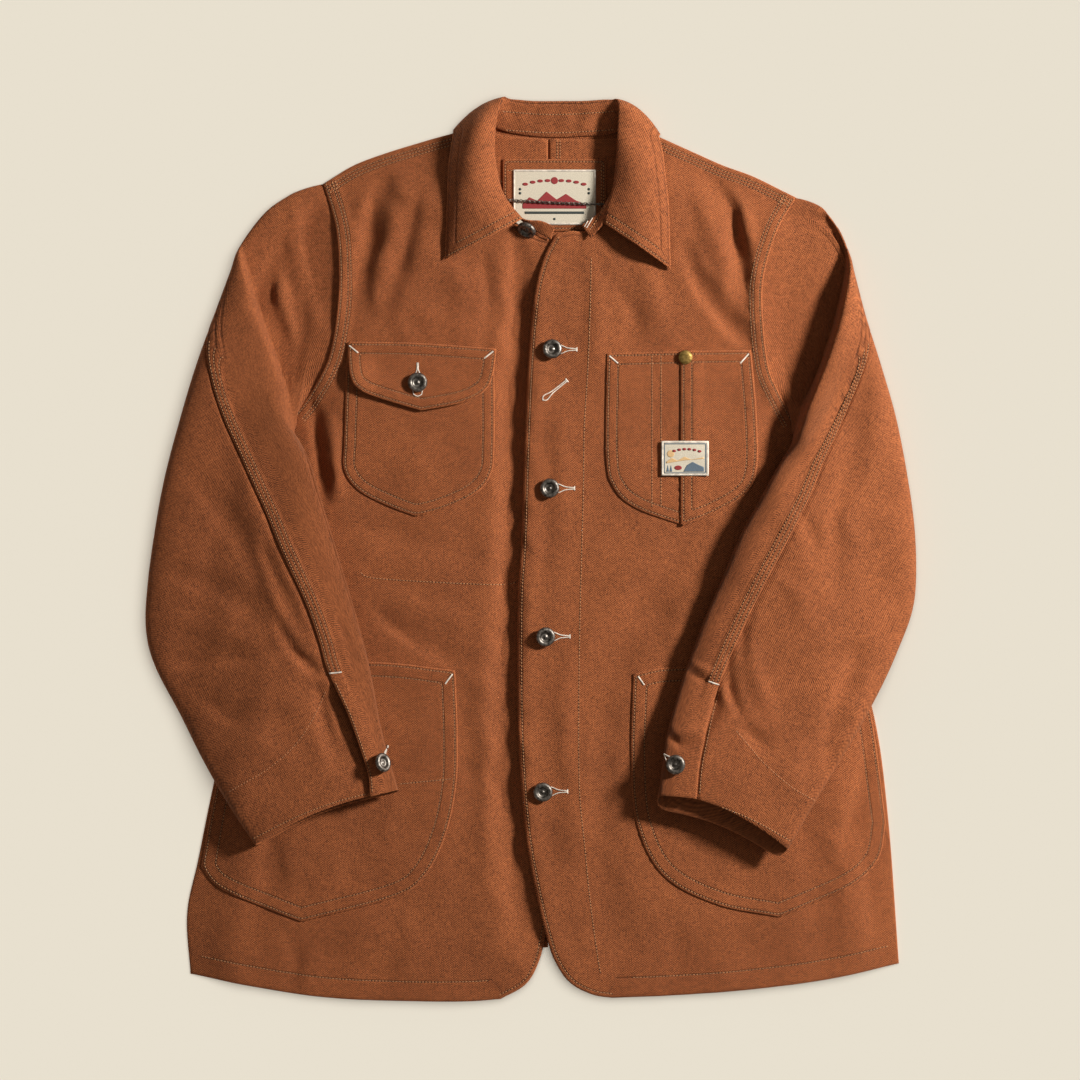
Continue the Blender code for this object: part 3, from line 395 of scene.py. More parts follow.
def through(points, counts):
    """A smooth curve through the points, with that many steps between each two."""
    points = np.asarray(points, float)
    padded = np.concatenate([[2 * points[0] - points[1]], points, [2 * points[-1] - points[-2]]])
    made = []
    for index, count in enumerate(counts):
        before, start, end, after = padded[index:index + 4]
        for t in np.arange(count) / count:
            made.append(0.5 * (2 * start + (end - before) * t
                               + (2 * before - 5 * start + 4 * end - after) * t ** 2
                               + (3 * start - before - 3 * end + after) * t ** 3))
    made.append(points[-1])
    return np.array(made)


def curve(points, step):
    """A smooth curve through the points, in steps of about that length."""
    gaps = np.linalg.norm(np.diff(np.asarray(points, float), axis=0), axis=1)
    return through(points, np.maximum(1, np.rint(gaps / step)).astype(int))


def lengths(line):
    """How far along a line of joined points each one is."""
    return np.concatenate([[0.0], np.cumsum(np.linalg.norm(np.diff(line, axis=0), axis=1))])


def evenly(line, pitch):
    """The line again, with its points a pitch apart."""
    far = lengths(line)
    spots = np.linspace(0.0, far[-1], max(2, round(far[-1] / pitch) + 1))
    return np.stack([np.interp(spots, far, axis) for axis in line.T], 1)


def loop_of(stretches, step=3.0):
    """A closed outline from smooth stretches that meet at corners."""
    return np.concatenate([curve(stretch, step)[:-1] for stretch in stretches])


def closed(loop):
    """An outline with its first point again at its end."""
    return np.vstack([loop, loop[:1]])


def inside(points, loop):
    """Which points are inside a closed outline."""
    x, y = points.T
    odd = np.zeros(len(points), bool)
    for (ax, ay), (bx, by) in zip(loop, np.roll(loop, -1, axis=0)):
        if ay != by:
            odd ^= ((ay > y) != (by > y)) & (x < ax + (y - ay) / (by - ay) * (bx - ax))
    return odd


def nearest(points, line):
    """Each point's distance to a line, how far along the line its nearest spot is, and its side of it."""
    best = np.full(len(points), np.inf)
    along = np.zeros(len(points))
    side = np.ones(len(points))
    for start, end, before in zip(line[:-1], line[1:], lengths(line)):
        run = end - start
        share = np.clip(((points - start) @ run) / max(run @ run, 1e-9), 0.0, 1.0)
        off = points - start - share[:, None] * run
        distance = np.hypot(off[:, 0], off[:, 1])
        closer = distance < best
        best = np.where(closer, distance, best)
        along = np.where(closer, before + share * math.hypot(*run), along)
        side = np.where(closer, np.sign(run[0] * off[:, 1] - run[1] * off[:, 0]), side)
    return best, along, side


def beside(line, width):
    """A line moved to its left by a width, or to its right by a negative one."""
    run = np.gradient(line, axis=0)
    run /= np.linalg.norm(run, axis=1)[:, None]
    return line + np.stack([-run[:, 1], run[:, 0]], 1) * width


def inset(loop, depth):
    """A closed outline moved inwards, without the points that come too near it."""
    run = np.roll(loop, -1, 0) - np.roll(loop, 1, 0)
    run /= np.linalg.norm(run, axis=1)[:, None]
    x, y = loop.T
    turn = np.sign(np.sum(x * np.roll(y, -1) - y * np.roll(x, -1)))
    moved = loop + np.stack([-run[:, 1], run[:, 0]], 1) * depth * turn
    return moved[nearest(moved, closed(loop))[0] > 0.96 * depth]


def drift(points, size, seed):
    """A slow uneven wave, between about -1 and 1, over places."""
    chance = np.random.default_rng(seed)
    total = 0.0
    for _ in range(7):
        heading, start = chance.uniform(0.0, 2 * math.pi, 2)
        turns = 2 * math.pi * chance.uniform(0.6, 1.6) / size
        way = points[:, 0] * math.cos(heading) + points[:, 1] * math.sin(heading)
        total = total + np.sin(turns * way + start)
    return total / 2.6


def across(line, y):
    """x of a line that runs down, at each height y."""
    return np.interp(y, line[::-1, 1], line[::-1, 0])


# ---- heights ----
SEAM_LINES = [curve(points, 8.0) for points in (SHOULDER_RIGHT, SHOULDER_LEFT, SIDE_RIGHT, SIDE_LEFT)]
BODY_RIGHT = np.vstack([curve(ARMHOLE_RIGHT, 8.0)[:-1], curve(SIDE_RIGHT, 8.0)])
BODY_LEFT = np.vstack([curve(ARMHOLE_LEFT, 8.0)[:-1], curve(SIDE_LEFT, 8.0)])
ARMHOLES = {-1: curve(ARMHOLE_RIGHT, 6.0), 1: curve(ARMHOLE_LEFT, 6.0)}
LAP_LINE = curve(FRONT_EDGE, 8.0)


def creases(points, table):
    """What a table's creases add to the height."""
    total = np.zeros(len(points))
    for number, row in enumerate(table):
        crease = dict(zip(CREASE_COLUMNS, row))
        ends = [(crease["x" + k], crease["y" + k]) for k in "0m1"]
        line = curve(ends, 10.0)
        distance, along, side = nearest(points, line)
        share = along / lengths(line)[-1]
        reach = crease["reach0"] + (crease["reach1"] - crease["reach0"]) * share
        reach = reach * (1.0 + crease["skew"] * side) * (1.0 + 0.18 * drift(points, 40.0, number))
        fall = np.cos(np.clip(distance / reach, 0.0, 1.0) * math.pi / 2) ** 2
        window = np.sin(math.pi * (0.12 + 0.76 * share)) * (1.0 + 0.22 * drift(points, 55.0, 100 + number))
        total += CREASE_STRENGTH * crease["height"] * fall * window
    return total


def back_top(points):
    """Height of the back's upper face."""
    x, y = points.T
    away = 1.0 - smooth(92.0, 128.0, np.abs(x - NECK_MID))
    return CLOTH + NECK_LIFT * away * smooth(222.0, 268.0, y)


def pucker(distance, along, row, seed):
    """The small ripple that a row of stitches leaves in the cloth."""
    wave = np.sin(along * 2 * math.pi / 8.5 + 1.5 * np.sin(along / 23.0 + seed))
    wave = wave * (0.6 + 0.4 * np.sin(along / 31.0 + seed))
    return 0.16 * wave * np.exp(-((distance - row) / 5.0) ** 2)


def lap_rise(points):
    """How much the left front's edge stands up, buttoned over the right one."""
    from_edge = points[:, 0] - across(LAP_LINE, points[:, 1])
    near = 1.0 - smooth(2.0, 24.0, from_edge)
    return LAP_RISE * near * smooth(-392.0, -330.0, points[:, 1]) * (1.0 - smooth(225.0, 262.0, points[:, 1]))


def left_front_top(points):
    """Height of the left front."""
    return front_top(points) + lap_rise(points)


def front_top(points):
    """Height of the fronts' upper face."""
    from_seam = np.min([nearest(points, line)[0] for line in SEAM_LINES], axis=0)
    rise = smooth(0.0, HOLLOW_REACH, from_seam)
    soft = creases(points, FRONT_CREASES) + 0.45 * drift(points, 85.0, 7) + 0.16 * drift(points, 30.0, 8)
    height = back_top(points) + SEAM_RISE - CLOTH + rise * HOLLOW + (0.25 + 0.75 * rise) * soft
    height -= 0.6 * (1.0 - smooth(0.0, 9.0, from_seam))
    for line in ARMHOLES.values():
        distance, along, _ = nearest(points, line)
        height += BAND_RISE * (1.0 - smooth(BAND_WIDTH - 1.0, BAND_WIDTH + 1.2, distance))
        height += pucker(distance, along, BAND_WIDTH, 3)
    for line in SEAM_LINES[:2]:
        distance, along, _ = nearest(points, line)
        height += 0.6 * (1.0 - smooth(SHOULDER_BAND - 0.5, SHOULDER_BAND + 1.5, distance))
        height += pucker(distance, along, SHOULDER_BAND, 5)
    return height


def right_front_top(points):
    """Height of the right front, which dips to pass under the left one."""
    edge = across(LAP_LINE, points[:, 1])
    return front_top(points) - LAP_DROP * smooth(edge - 34.0, edge - 10.0, points[:, 0])


def lapped(points):
    """Height of the outer chest piece, which climbs onto the inner one."""
    lap_end = CHEST_LEFT_INNER[1][0][0]
    return front_top(points) + GAP + OVERLAY * (1.0 - smooth(lap_end + 1.0, lap_end + 16.0, points[:, 0]))


def moved_up(height, offset):
    """The same heights, all higher by an offset."""
    return lambda points: height(points) + offset


# ---- materials ----
def new_material(name, colour, roughness, metallic=0.0, specular=0.3):
    """A material, its nodes, and its Principled shader."""
    material = bpy.data.materials.new(name)
    material.use_nodes = True
    tree = material.node_tree
    shader = tree.nodes["Principled BSDF"]
    shader.inputs["Base Color"].default_value = (*colour, 1.0)
    shader.inputs["Roughness"].default_value = roughness
    shader.inputs["Metallic"].default_value = metallic
    shader.inputs["Specular IOR Level"].default_value = specular
    return material, tree, shader


def node(tree, kind, inputs=(), **settings):
    """A shader node with its settings, and its inputs given as values or as other nodes' outputs."""
    made = tree.nodes.new("ShaderNode" + kind)
    for key, value in settings.items():
        setattr(made, key, value)
    for key, value in dict(inputs).items():
        if isinstance(value, bpy.types.NodeSocket):
            tree.links.new(value, made.inputs[key])
        else:
            made.inputs[key].default_value = value
    return made


def math_of(tree, operation, a, b=0.0):
    """The output of a sum, product or other operation on two values."""
    return node(tree, "Math", {0: a, 1: b}, operation=operation).outputs[0]


def tones(tree, factor, stops):
    """A colour ramp over a factor, from (place, colour) stops."""
    ramp = node(tree, "ValToRGB", {"Fac": factor})
    ramp.color_ramp.elements[0].position = stops[0][0]
    ramp.color_ramp.elements[0].color = (*stops[0][1], 1.0)
    ramp.color_ramp.elements[1].position = stops[-1][0]
    ramp.color_ramp.elements[1].color = (*stops[-1][1], 1.0)
    for place, colour in stops[1:-1]:
        ramp.color_ramp.elements.new(place).color = (*colour, 1.0)
    return ramp.outputs["Color"]


def multiplied(tree, colour, factor):
    """A colour made lighter or darker by a factor."""
    return node(tree, "VectorMath", {0: colour, 1: factor}, operation="MULTIPLY").outputs[0]


def canvas_material(name, colour, yarn=2.1, twill=2.8):
    """Duck canvas: uneven yarns, slow changes of tone, worn edges, and grooves along its stitches, with painted
    shade in them.
    """
    material, tree, shader = new_material(name, colour, 0.88, specular=0.25)
    place = node(tree, "Attribute", attribute_name="cloth").outputs["Vector"]
    split = node(tree, "SeparateXYZ", {0: place})
    warp = math_of(tree, "SINE", math_of(tree, "MULTIPLY", split.outputs[0], 2 * math.pi / yarn))
    weft = math_of(tree, "SINE", math_of(tree, "MULTIPLY", split.outputs[1], 2 * math.pi / yarn))
    weave = math_of(tree, "MULTIPLY", warp, weft)
    slant = math_of(tree, "ADD", split.outputs[0], math_of(tree, "MULTIPLY", split.outputs[1], -1.5))
    wale = math_of(tree, "SINE", math_of(tree, "MULTIPLY", slant, 2 * math.pi / twill))
    slubs = []
    for scale in ((1.25, 0.2, 1.0), (0.2, 1.25, 1.0)):
        stretched = node(tree, "VectorMath", {0: place, 1: scale}, operation="MULTIPLY").outputs[0]
        slubs.append(node(tree, "TexNoise", {"Vector": stretched, "Scale": 1.0, "Detail": 1.0}).outputs["Fac"])
    grain = node(tree, "TexNoise", {"Vector": place, "Scale": 1.05, "Detail": 0.0}).outputs["Fac"]
    slow = node(tree, "TexNoise", {"Vector": place, "Scale": 0.02, "Detail": 3.0}).outputs["Fac"]
    mixed = math_of(tree, "ADD", slubs[0], slubs[1])
    for part, weight in ((grain, 1.1), (weave, 0.46), (wale, 0.40)):
        mixed = math_of(tree, "ADD", mixed, math_of(tree, "MULTIPLY", part, weight))
    shade = node(tree, "MapRange", {"Value": mixed, "From Min": 0.55, "From Max": 2.55,
                                    "To Min": 0.1, "To Max": 1.9})
    slow_shade = node(tree, "MapRange", {"Value": slow, "From Min": 0.25, "From Max": 0.75,
                                         "To Min": 0.9, "To Max": 1.1})
    both = math_of(tree, "MULTIPLY", shade.outputs[0], slow_shade.outputs[0])
    edge = node(tree, "Attribute", attribute_name="edge").outputs["Fac"]
    rows = node(tree, "SeparateXYZ", {0: node(tree, "Attribute", attribute_name="rows").outputs["Vector"]})
    groove = None
    for row in rows.outputs:
        beside_row = math_of(tree, "ABSOLUTE", math_of(tree, "SUBTRACT", edge, row))
        one = node(tree, "MapRange", {"Value": beside_row, "From Max": 1.5, "To Min": 1.0, "To Max": 0.0},
                   interpolation_type="SMOOTHSTEP").outputs[0]
        groove = one if groove is None else math_of(tree, "MAXIMUM", groove, one)
    # Painted shade: the base colour is darkened along the rows of stitches, where shade falls in their grooves.
    darker = node(tree, "MapRange", {"Value": groove, "To Min": 1.0, "To Max": 0.76})
    both = math_of(tree, "MULTIPLY", both, darker.outputs[0])
    rough_edge = math_of(tree, "ADD", edge, math_of(tree, "MULTIPLY", grain, 1.6))
    wear = node(tree, "MapRange", {"Value": rough_edge, "From Min": 0.7, "From Max": 2.0,
                                   "To Min": 1.4, "To Max": 1.0})
    both = math_of(tree, "MULTIPLY", both, wear.outputs[0])
    brightest = 2.2
    pale = [brightest * part * tint for part, tint in zip(colour, (1.0, 1.1, 1.1))]
    stops = [(0.0, (0.0, 0.0, 0.0)), (1 / brightest, colour), (1.0, pale)]
    toned = tones(tree, math_of(tree, "MULTIPLY", both, 1 / brightest), stops)
    tree.links.new(toned, shader.inputs["Base Color"])
    fine = math_of(tree, "MULTIPLY", mixed, 0.00016)
    deep = math_of(tree, "MULTIPLY", groove, -0.0005)
    bump = node(tree, "Bump", {"Height": math_of(tree, "ADD", fine, deep), "Strength": 1.0, "Distance": 1.0})
    tree.links.new(bump.outputs[0], shader.inputs["Normal"])
    shader.inputs["Sheen Weight"].default_value = 0.12
    shader.inputs["Sheen Roughness"].default_value = 0.5
    shader.inputs["Sheen Tint"].default_value = (0.95, 0.66, 0.45, 1.0)
    return material


def thread_material(name, colour):
    """Sewing thread, with its twist and an uneven shade."""
    material, tree, shader = new_material(name, colour, 0.65, specular=0.35)
    place = node(tree, "TexCoord").outputs["Object"]
    twist = node(tree, "TexWave", {"Vector": place, "Scale": 900.0, "Distortion": 1.5}, bands_direction="DIAGONAL")
    shade = node(tree, "TexNoise", {"Vector": place, "Scale": 260.0, "Detail": 2.0})
    tone = node(tree, "MapRange", {"Value": shade.outputs["Fac"], "From Min": 0.3, "From Max": 0.7,
                                   "To Min": 0.74, "To Max": 1.2})
    tree.links.new(multiplied(tree, colour, tone.outputs[0]), shader.inputs["Base Color"])
    bump = node(tree, "Bump", {"Height": twist.outputs["Fac"], "Strength": 0.4, "Distance": 0.0001})
    tree.links.new(bump.outputs[0], shader.inputs["Normal"])
    return material


def woven_material(name, colour, yarn=0.42):
    """A close satin ground of a woven label."""
    material, tree, shader = new_material(name, colour, 0.7, specular=0.3)
    place = node(tree, "Attribute", attribute_name="cloth").outputs["Vector"]
    split = node(tree, "SeparateXYZ", {0: place})
    rib = math_of(tree, "SINE", math_of(tree, "MULTIPLY", split.outputs[1], 2 * math.pi / yarn))
    end = math_of(tree, "SINE", math_of(tree, "MULTIPLY", split.outputs[0], 2 * math.pi / yarn))
    fuzz = node(tree, "TexNoise", {"Vector": place, "Scale": 1.6, "Detail": 3.0}).outputs["Fac"]
    mixed = math_of(tree, "ADD", math_of(tree, "MULTIPLY", math_of(tree, "MULTIPLY", rib, end), 0.2), fuzz)
    tone = node(tree, "MapRange", {"Value": mixed, "From Min": 0.2, "From Max": 0.8,
                                   "To Min": 0.74, "To Max": 1.15})
    tree.links.new(multiplied(tree, colour, tone.outputs[0]), shader.inputs["Base Color"])
    bump = node(tree, "Bump", {"Height": mixed, "Strength": 0.5, "Distance": 0.0001})
    tree.links.new(bump.outputs[0], shader.inputs["Normal"])
    return material


def metal_material(name, bright, dark, roughness):
    """Cast metal with a dark patina in patches."""
    material, tree, shader = new_material(name, bright, roughness, 1.0, 0.5)
    place = node(tree, "TexCoord").outputs["Object"]
    patches = node(tree, "TexNoise", {"Vector": place, "Scale": 420.0, "Detail": 4.0, "Roughness": 0.65})
    patches = patches.outputs["Fac"]
    pits = node(tree, "TexNoise", {"Vector": place, "Scale": 1600.0, "Detail": 2.0}).outputs["Fac"]
    tree.links.new(tones(tree, patches, [(0.36, dark), (0.62, bright)]), shader.inputs["Base Color"])
    tone = node(tree, "MapRange", {"Value": patches, "To Min": roughness + 0.2, "To Max": roughness - 0.05})
    tree.links.new(tone.outputs[0], shader.inputs["Roughness"])
    bump = node(tree, "Bump", {"Height": pits, "Strength": 0.35, "Distance": 0.0002})
    tree.links.new(bump.outputs[0], shader.inputs["Normal"])
    return material


CANVAS = canvas_material("canvas", (0.268, 0.0735, 0.0222))
TAN_THREAD = thread_material("tan_thread", (0.52, 0.245, 0.105))
WHITE_THREAD = thread_material("white_thread", (0.83, 0.74, 0.63))
# Painted shade: the needle holes are near-black grains that stand for the shade inside each hole.
HOLE_SHADE = thread_material("needle_hole", (0.03, 0.009, 0.004))
CREAM = woven_material("label_cream", (0.66, 0.58, 0.45))
LABEL_RED = woven_material("label_red", (0.30, 0.035, 0.035))
LABEL_DARK = woven_material("label_dark", (0.045, 0.055, 0.05))
LABEL_BLUE = woven_material("label_blue", (0.12, 0.16, 0.2))
LABEL_GOLD = woven_material("label_gold", (0.72, 0.46, 0.22))
THREAD_KINDS = {"white": WHITE_THREAD, "pale": thread_material("pale_thread", (0.50, 0.22, 0.10))}
NICKEL = metal_material("antique_nickel", (0.34, 0.30, 0.26), (0.045, 0.038, 0.032), 0.42)
BRASS = metal_material("aged_brass", (0.40, 0.26, 0.08), (0.18, 0.11, 0.03), 0.5)


# ---- meshes ----
SURFACES = {}
FAR_ROWS = (FAR, FAR, FAR)


def build(name, points, faces, material, slot, replaced=(), **attributes):
    """A smooth mesh piece, its points given in millimetres, that rides on the jacket."""
    mesh = bpy.data.meshes.new(name)
    mesh.from_pydata((np.asarray(points) * MM).tolist(), [], [list(map(int, face)) for face in faces])
    mesh.materials.append(material)
    mesh.shade_smooth()
    for key, values in attributes.items():
        values = np.asarray(values, np.float32)
        kind, field = ("FLOAT", "value") if values.ndim == 1 else ("FLOAT_VECTOR", "vector")
        mesh.attributes.new(key, kind, "POINT").data.foreach_set(field, values.ravel())
    obj = bpy.data.objects.new(name, mesh)
    bpy.context.scene.collection.objects.link(obj)
    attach(obj, "root")
    if replaced:
        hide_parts(*replaced)
    return obj


def thirds(faces):
    """The faces as triangles."""
    if faces.shape[1] == 3:
        return faces
    return np.concatenate([faces[:, [0, 1, 2]], faces[:, [0, 2, 3]]])


def normals_of(points, faces):
    """Each point's normal."""
    total = np.zeros_like(points)
    parts = thirds(faces)
    a, b, c = (points[parts[:, k]] for k in range(3))
    out = np.cross(b - a, c - a)
    for corner in range(3):
        for axis in range(3):
            total[:, axis] += np.bincount(parts[:, corner], out[:, axis], len(points))
    return total / np.maximum(np.linalg.norm(total, axis=1), 1e-12)[:, None]


def shell(name, node_name, points, faces, wall, above, material, slot, edge, cloth, rows=FAR_ROWS):
    """A closed sheet round a surface, with a share of its wall above it and a rounded rim."""
    count = len(points)
    normal = normals_of(points, faces)
    top = points + normal * wall * above
    bottom = points - normal * wall * (1.0 - above)
    corners = faces.shape[1]
    ends = np.concatenate([faces[:, [k, (k + 1) % corners]] for k in range(corners)])
    there, back = ends[:, 0] * count + ends[:, 1], ends[:, 1] * count + ends[:, 0]
    rim = ends[~np.isin(there, back)]
    run = points[rim[:, 1]] - points[rim[:, 0]]
    run /= np.maximum(np.linalg.norm(run, axis=1), 1e-9)[:, None]
    out = np.zeros_like(points)
    for end in (0, 1):
        np.add.at(out, rim[:, end], np.cross(run, normal[rim[:, end]]))
    round_it = np.unique(rim)
    out = out[round_it] / np.maximum(np.linalg.norm(out[round_it], axis=1), 1e-9)[:, None]
    middle = (top[round_it] + bottom[round_it]) / 2 + out * wall * 0.32
    place = np.zeros(count, int)
    place[round_it] = 2 * count + np.arange(len(round_it))
    a, b = rim.T
    sides = np.concatenate([np.stack([b, a, place[a], place[b]], 1),
                            np.stack([place[b], place[a], a + count, b + count], 1)])
    made = faces.tolist() + (faces[:, ::-1] + count).tolist() + sides.tolist()
    rows = np.broadcast_to(rows, (count, 3))
    obj = build(name, np.concatenate([top, bottom, middle]), made, material, slot, (node_name,),
                edge=np.concatenate([edge, edge, np.zeros(len(round_it))]),
                cloth=np.concatenate([cloth, cloth, cloth[round_it]]),
                rows=np.concatenate([rows, np.full((count + len(round_it), 3), FAR)]))
    SURFACES[name] = BVHTree.FromPolygons(top.tolist(), faces.tolist())
    return obj


def net(loop, step, rings):
    """A flat net of triangles inside an outline, with rings of points along its edge."""
    low, high = loop.min(0), loop.max(0)
    rows = np.arange(low[1], high[1], step * 0.866)
    lattice = [np.stack([xs, np.full(len(xs), y)], 1) for number, y in enumerate(rows)
               for xs in [np.arange(low[0] + (number % 2) * step / 2, high[0], step)]]
    lattice = np.concatenate(lattice)
    lattice = lattice[inside(lattice, loop)]
    lattice = lattice[nearest(lattice, closed(loop))[0] > rings[-1] + 0.55 * step]
    points = np.concatenate([loop, *[inset(loop, depth) for depth in rings], lattice])
    edges = [(i, (i + 1) % len(loop)) for i in range(len(loop))]
    flat, _, faces, *_ = geometry.delaunay_2d_cdt([Vector(p) for p in points], edges, [], 1, 1e-4)
    flat, faces = np.array(flat), np.array(faces)
    a, b, c = (flat[faces[:, k]] for k in range(3))
    turned = np.cross(b - a, c - a) < 0
    faces[turned] = faces[turned][:, ::-1]
    return flat, faces


def panel(name, node_name, loop, height, step=PANEL_STEP, rings=EDGE_RINGS, wall=CLOTH,
          above=0.0, rows=(), material=CANVAS, slot="canvas"):
    """A sheet inside an outline at its height, with turned edges and puckers along its rows of stitches."""
    flat, faces = net(loop, step, rings)
    distance, along, _ = nearest(flat, closed(loop))
    top = height(flat) - EDGE_DROP * (1.0 - smooth(0.0, rings[0] + 0.4, distance)) * min(wall / CLOTH, 1.0)
    depths = rows(flat) if callable(rows) else np.broadcast_to([*rows, *FAR_ROWS][:3], (len(flat), 3))
    for number in range(3):
        top += 1.3 * pucker(distance, along, depths[:, number], number)
    points = np.column_stack([flat, top])
    obj = shell(name, node_name, points, faces, wall, above, material, slot, distance, points, depths)


def drop(names, spots):
    """Where points come down on pieces: the places and the normals there, and which of them landed."""
    places, normals, landed = [], [], []
    for x, y in spots:
        best = None
        for name in names:
            hit = SURFACES[name].ray_cast(Vector((x, y, 90.0)), Vector((0, 0, -1)))
            if hit[0] is not None and (best is None or hit[0].z > best[0].z):
                best = hit
        landed.append(best is not None)
        places.append(best[0] if best else Vector((x, y, 0)))
        normals.append(best[1] if best else Vector((0, 0, 1)))
    return np.array(places), np.array(normals), np.array(landed)


# ---- threads ----
GRAIN_RING = ((0.5, 0), (0, 0.5), (-0.5, 0), (0, -0.5))
GRAIN = np.array([(-0.5, 0, 0)] + [(x, *yz) for x in (-0.34, 0.34) for yz in GRAIN_RING] + [(0.5, 0, 0)])
GRAIN_FACES = [(0, 2, 1), (0, 3, 2), (0, 4, 3), (0, 1, 4), (1, 2, 6, 5), (2, 3, 7, 6), (3, 4, 8, 7), (4, 1, 5, 8),
               (5, 6, 9), (6, 7, 9), (7, 8, 9), (8, 5, 9)]
THREADS = {}


def add_grains(group, places, runs, normals, length, width, height, lift=0.0):
    """Adds small rounded grains to a group, each along its run."""
    runs = runs - normals * np.sum(runs * normals, axis=1)[:, None]
    runs = runs / np.maximum(np.linalg.norm(runs, axis=1), 1e-9)[:, None]
    sides = np.cross(normals, runs)
    length = np.broadcast_to(length, len(places))
    places = places + normals * lift
    points = (places[:, None] + GRAIN[None, :, :1] * (runs * length[:, None])[:, None]
              + GRAIN[None, :, 1:2] * (sides * width)[:, None] + GRAIN[None, :, 2:] * (normals * height)[:, None])
    THREADS.setdefault(group, []).append(points.reshape(-1, 3))


def sew(group, names, line, pitch=STITCH_PITCH, holes=True):
    """A row of lockstitches along a line on pieces, with a needle hole at each end of a stitch, drawn as a dark
    grain of painted shade.
    """
    spots = evenly(line, pitch)
    places, normals, landed = drop(names, spots)
    run = places[1:] - places[:-1]
    long = np.linalg.norm(run, axis=1)
    kept = landed[1:] & landed[:-1] & (long < 2.2 * pitch)
    if kept.any():
        middle = (places[1:] + places[:-1])[kept] / 2
        normal = (normals[1:] + normals[:-1])[kept]
        normal /= np.linalg.norm(normal, axis=1)[:, None]
        add_grains(group, middle, run[kept], normal, long[kept] - STITCH_GAP, THREAD_WIDTH, THREAD_WIDTH, 0.08)
        # Painted shade: a near-black grain at each needle hole.
        if holes:
            add_grains(group + "_holes", places[1:][kept], run[kept], normal, *NEEDLE_HOLE, 0.06)


def sew_inset(group, names, loop, rows):
    """Rows of stitches inside a closed outline."""
    for depth in rows:
        sew(group, names, closed(inset(loop, depth)))


def satin(group, names, line, width, pitch=0.55, lift=0.25):
    """A line of close threads that lie across it, as in a bar tack or a buttonhole."""
    spots = evenly(np.asarray(line, float), pitch)
    places, normals, _ = drop(names, spots)
    run = np.gradient(places, axis=0)
    crossing = np.cross(normals, run)
    add_grains(group, places, crossing, normals, width, 0.75, 0.75, lift)


def finish_threads():
    """Makes each group of threads, and each group of the needle holes' painted shade, one piece."""
    for group, blocks in THREADS.items():
        points = np.concatenate(blocks)
        faces = [[i + start for i in face] for start in range(0, len(points), len(GRAIN)) for face in GRAIN_FACES]
        material = HOLE_SHADE if group.endswith("_holes") else THREAD_KINDS.get(group.split("_")[0], TAN_THREAD)
        build(group, points, faces, material, "thread")


# ---- the jacket's pieces ----
def make_backs():
    """The two halves of the back, and the patch inside its neck."""
    middle = BACK_NECK_RIGHT[-1]
    seam = [BACK_HEM_RIGHT[-1], middle]
    right = loop_of([SHOULDER_RIGHT, ARMHOLE_RIGHT, SIDE_RIGHT, BACK_HEM_RIGHT, seam, BACK_NECK_RIGHT[::-1],
                     [BACK_NECK_RIGHT[0], SHOULDER_RIGHT[0]]], 5.0)
    left = loop_of([SHOULDER_LEFT, ARMHOLE_LEFT, SIDE_LEFT, BACK_HEM_LEFT, seam, BACK_NECK_LEFT[::-1],
                    [BACK_NECK_LEFT[0], SHOULDER_LEFT[0]]], 5.0)
    for side_name, loop, side in (("right", right, -1), ("left", left, 1)):
        loop = loop + np.column_stack([(np.abs(loop[:, 0] - middle[0]) < 0.01) * side * BACK_SEAM_GAP,
                                       0 * loop[:, 0]])
        panel("back_panel_" + side_name, "back_" + side_name, loop, back_top, step=7.0)
    backs = ["back_panel_right", "back_panel_left"]
    for x in (middle[0] + 7.2, middle[0] + 9.8):
        sew("stitches_collar", backs, np.array([(x, 357.0), (x, 300.0)]))
    patch = loop_of(NECK_PATCH)
    over_back = moved_up(back_top, GAP + 0.2)
    panel("neck_patch_cloth", "neck_patch", patch, over_back, above=1.0, step=3.0, rows=(PATCH_ROW,))
    sew_inset("stitches_collar", ["neck_patch_cloth"], patch, (PATCH_ROW,))
    sew("stitches_collar", ["neck_patch_cloth"], np.array([(61.0, 336.0), (61.0, 280.0)]))
    sew("stitches_collar", ["neck_patch_cloth"], np.array([(-22.0, 329.5), (62.0, 329.5)]))


def front_rows(points):
    """How far from a front's edge its rows of stitches run, by the seam that is nearest."""
    lines = (ARMHOLES[-1], ARMHOLES[1], SEAM_LINES[0], SEAM_LINES[1], LAP_LINE, curve(CORNER_RIGHT[:5], 6.0),
             curve(HEM_RIGHT, 8.0), curve(HEM_LEFT, 8.0), SEAM_LINES[2], SEAM_LINES[3])
    depths = np.array([ARMHOLE_ROWS] * 2 + [SHOULDER_ROWS] * 2 + [(FRONT_EDGE_ROW, FAR, FAR)] * 2
                      + [(HEM_ROW, FAR, FAR)] * 2 + [FAR_ROWS] * 2)
    return depths[np.argmin([nearest(points, line)[0] for line in lines], axis=0)]


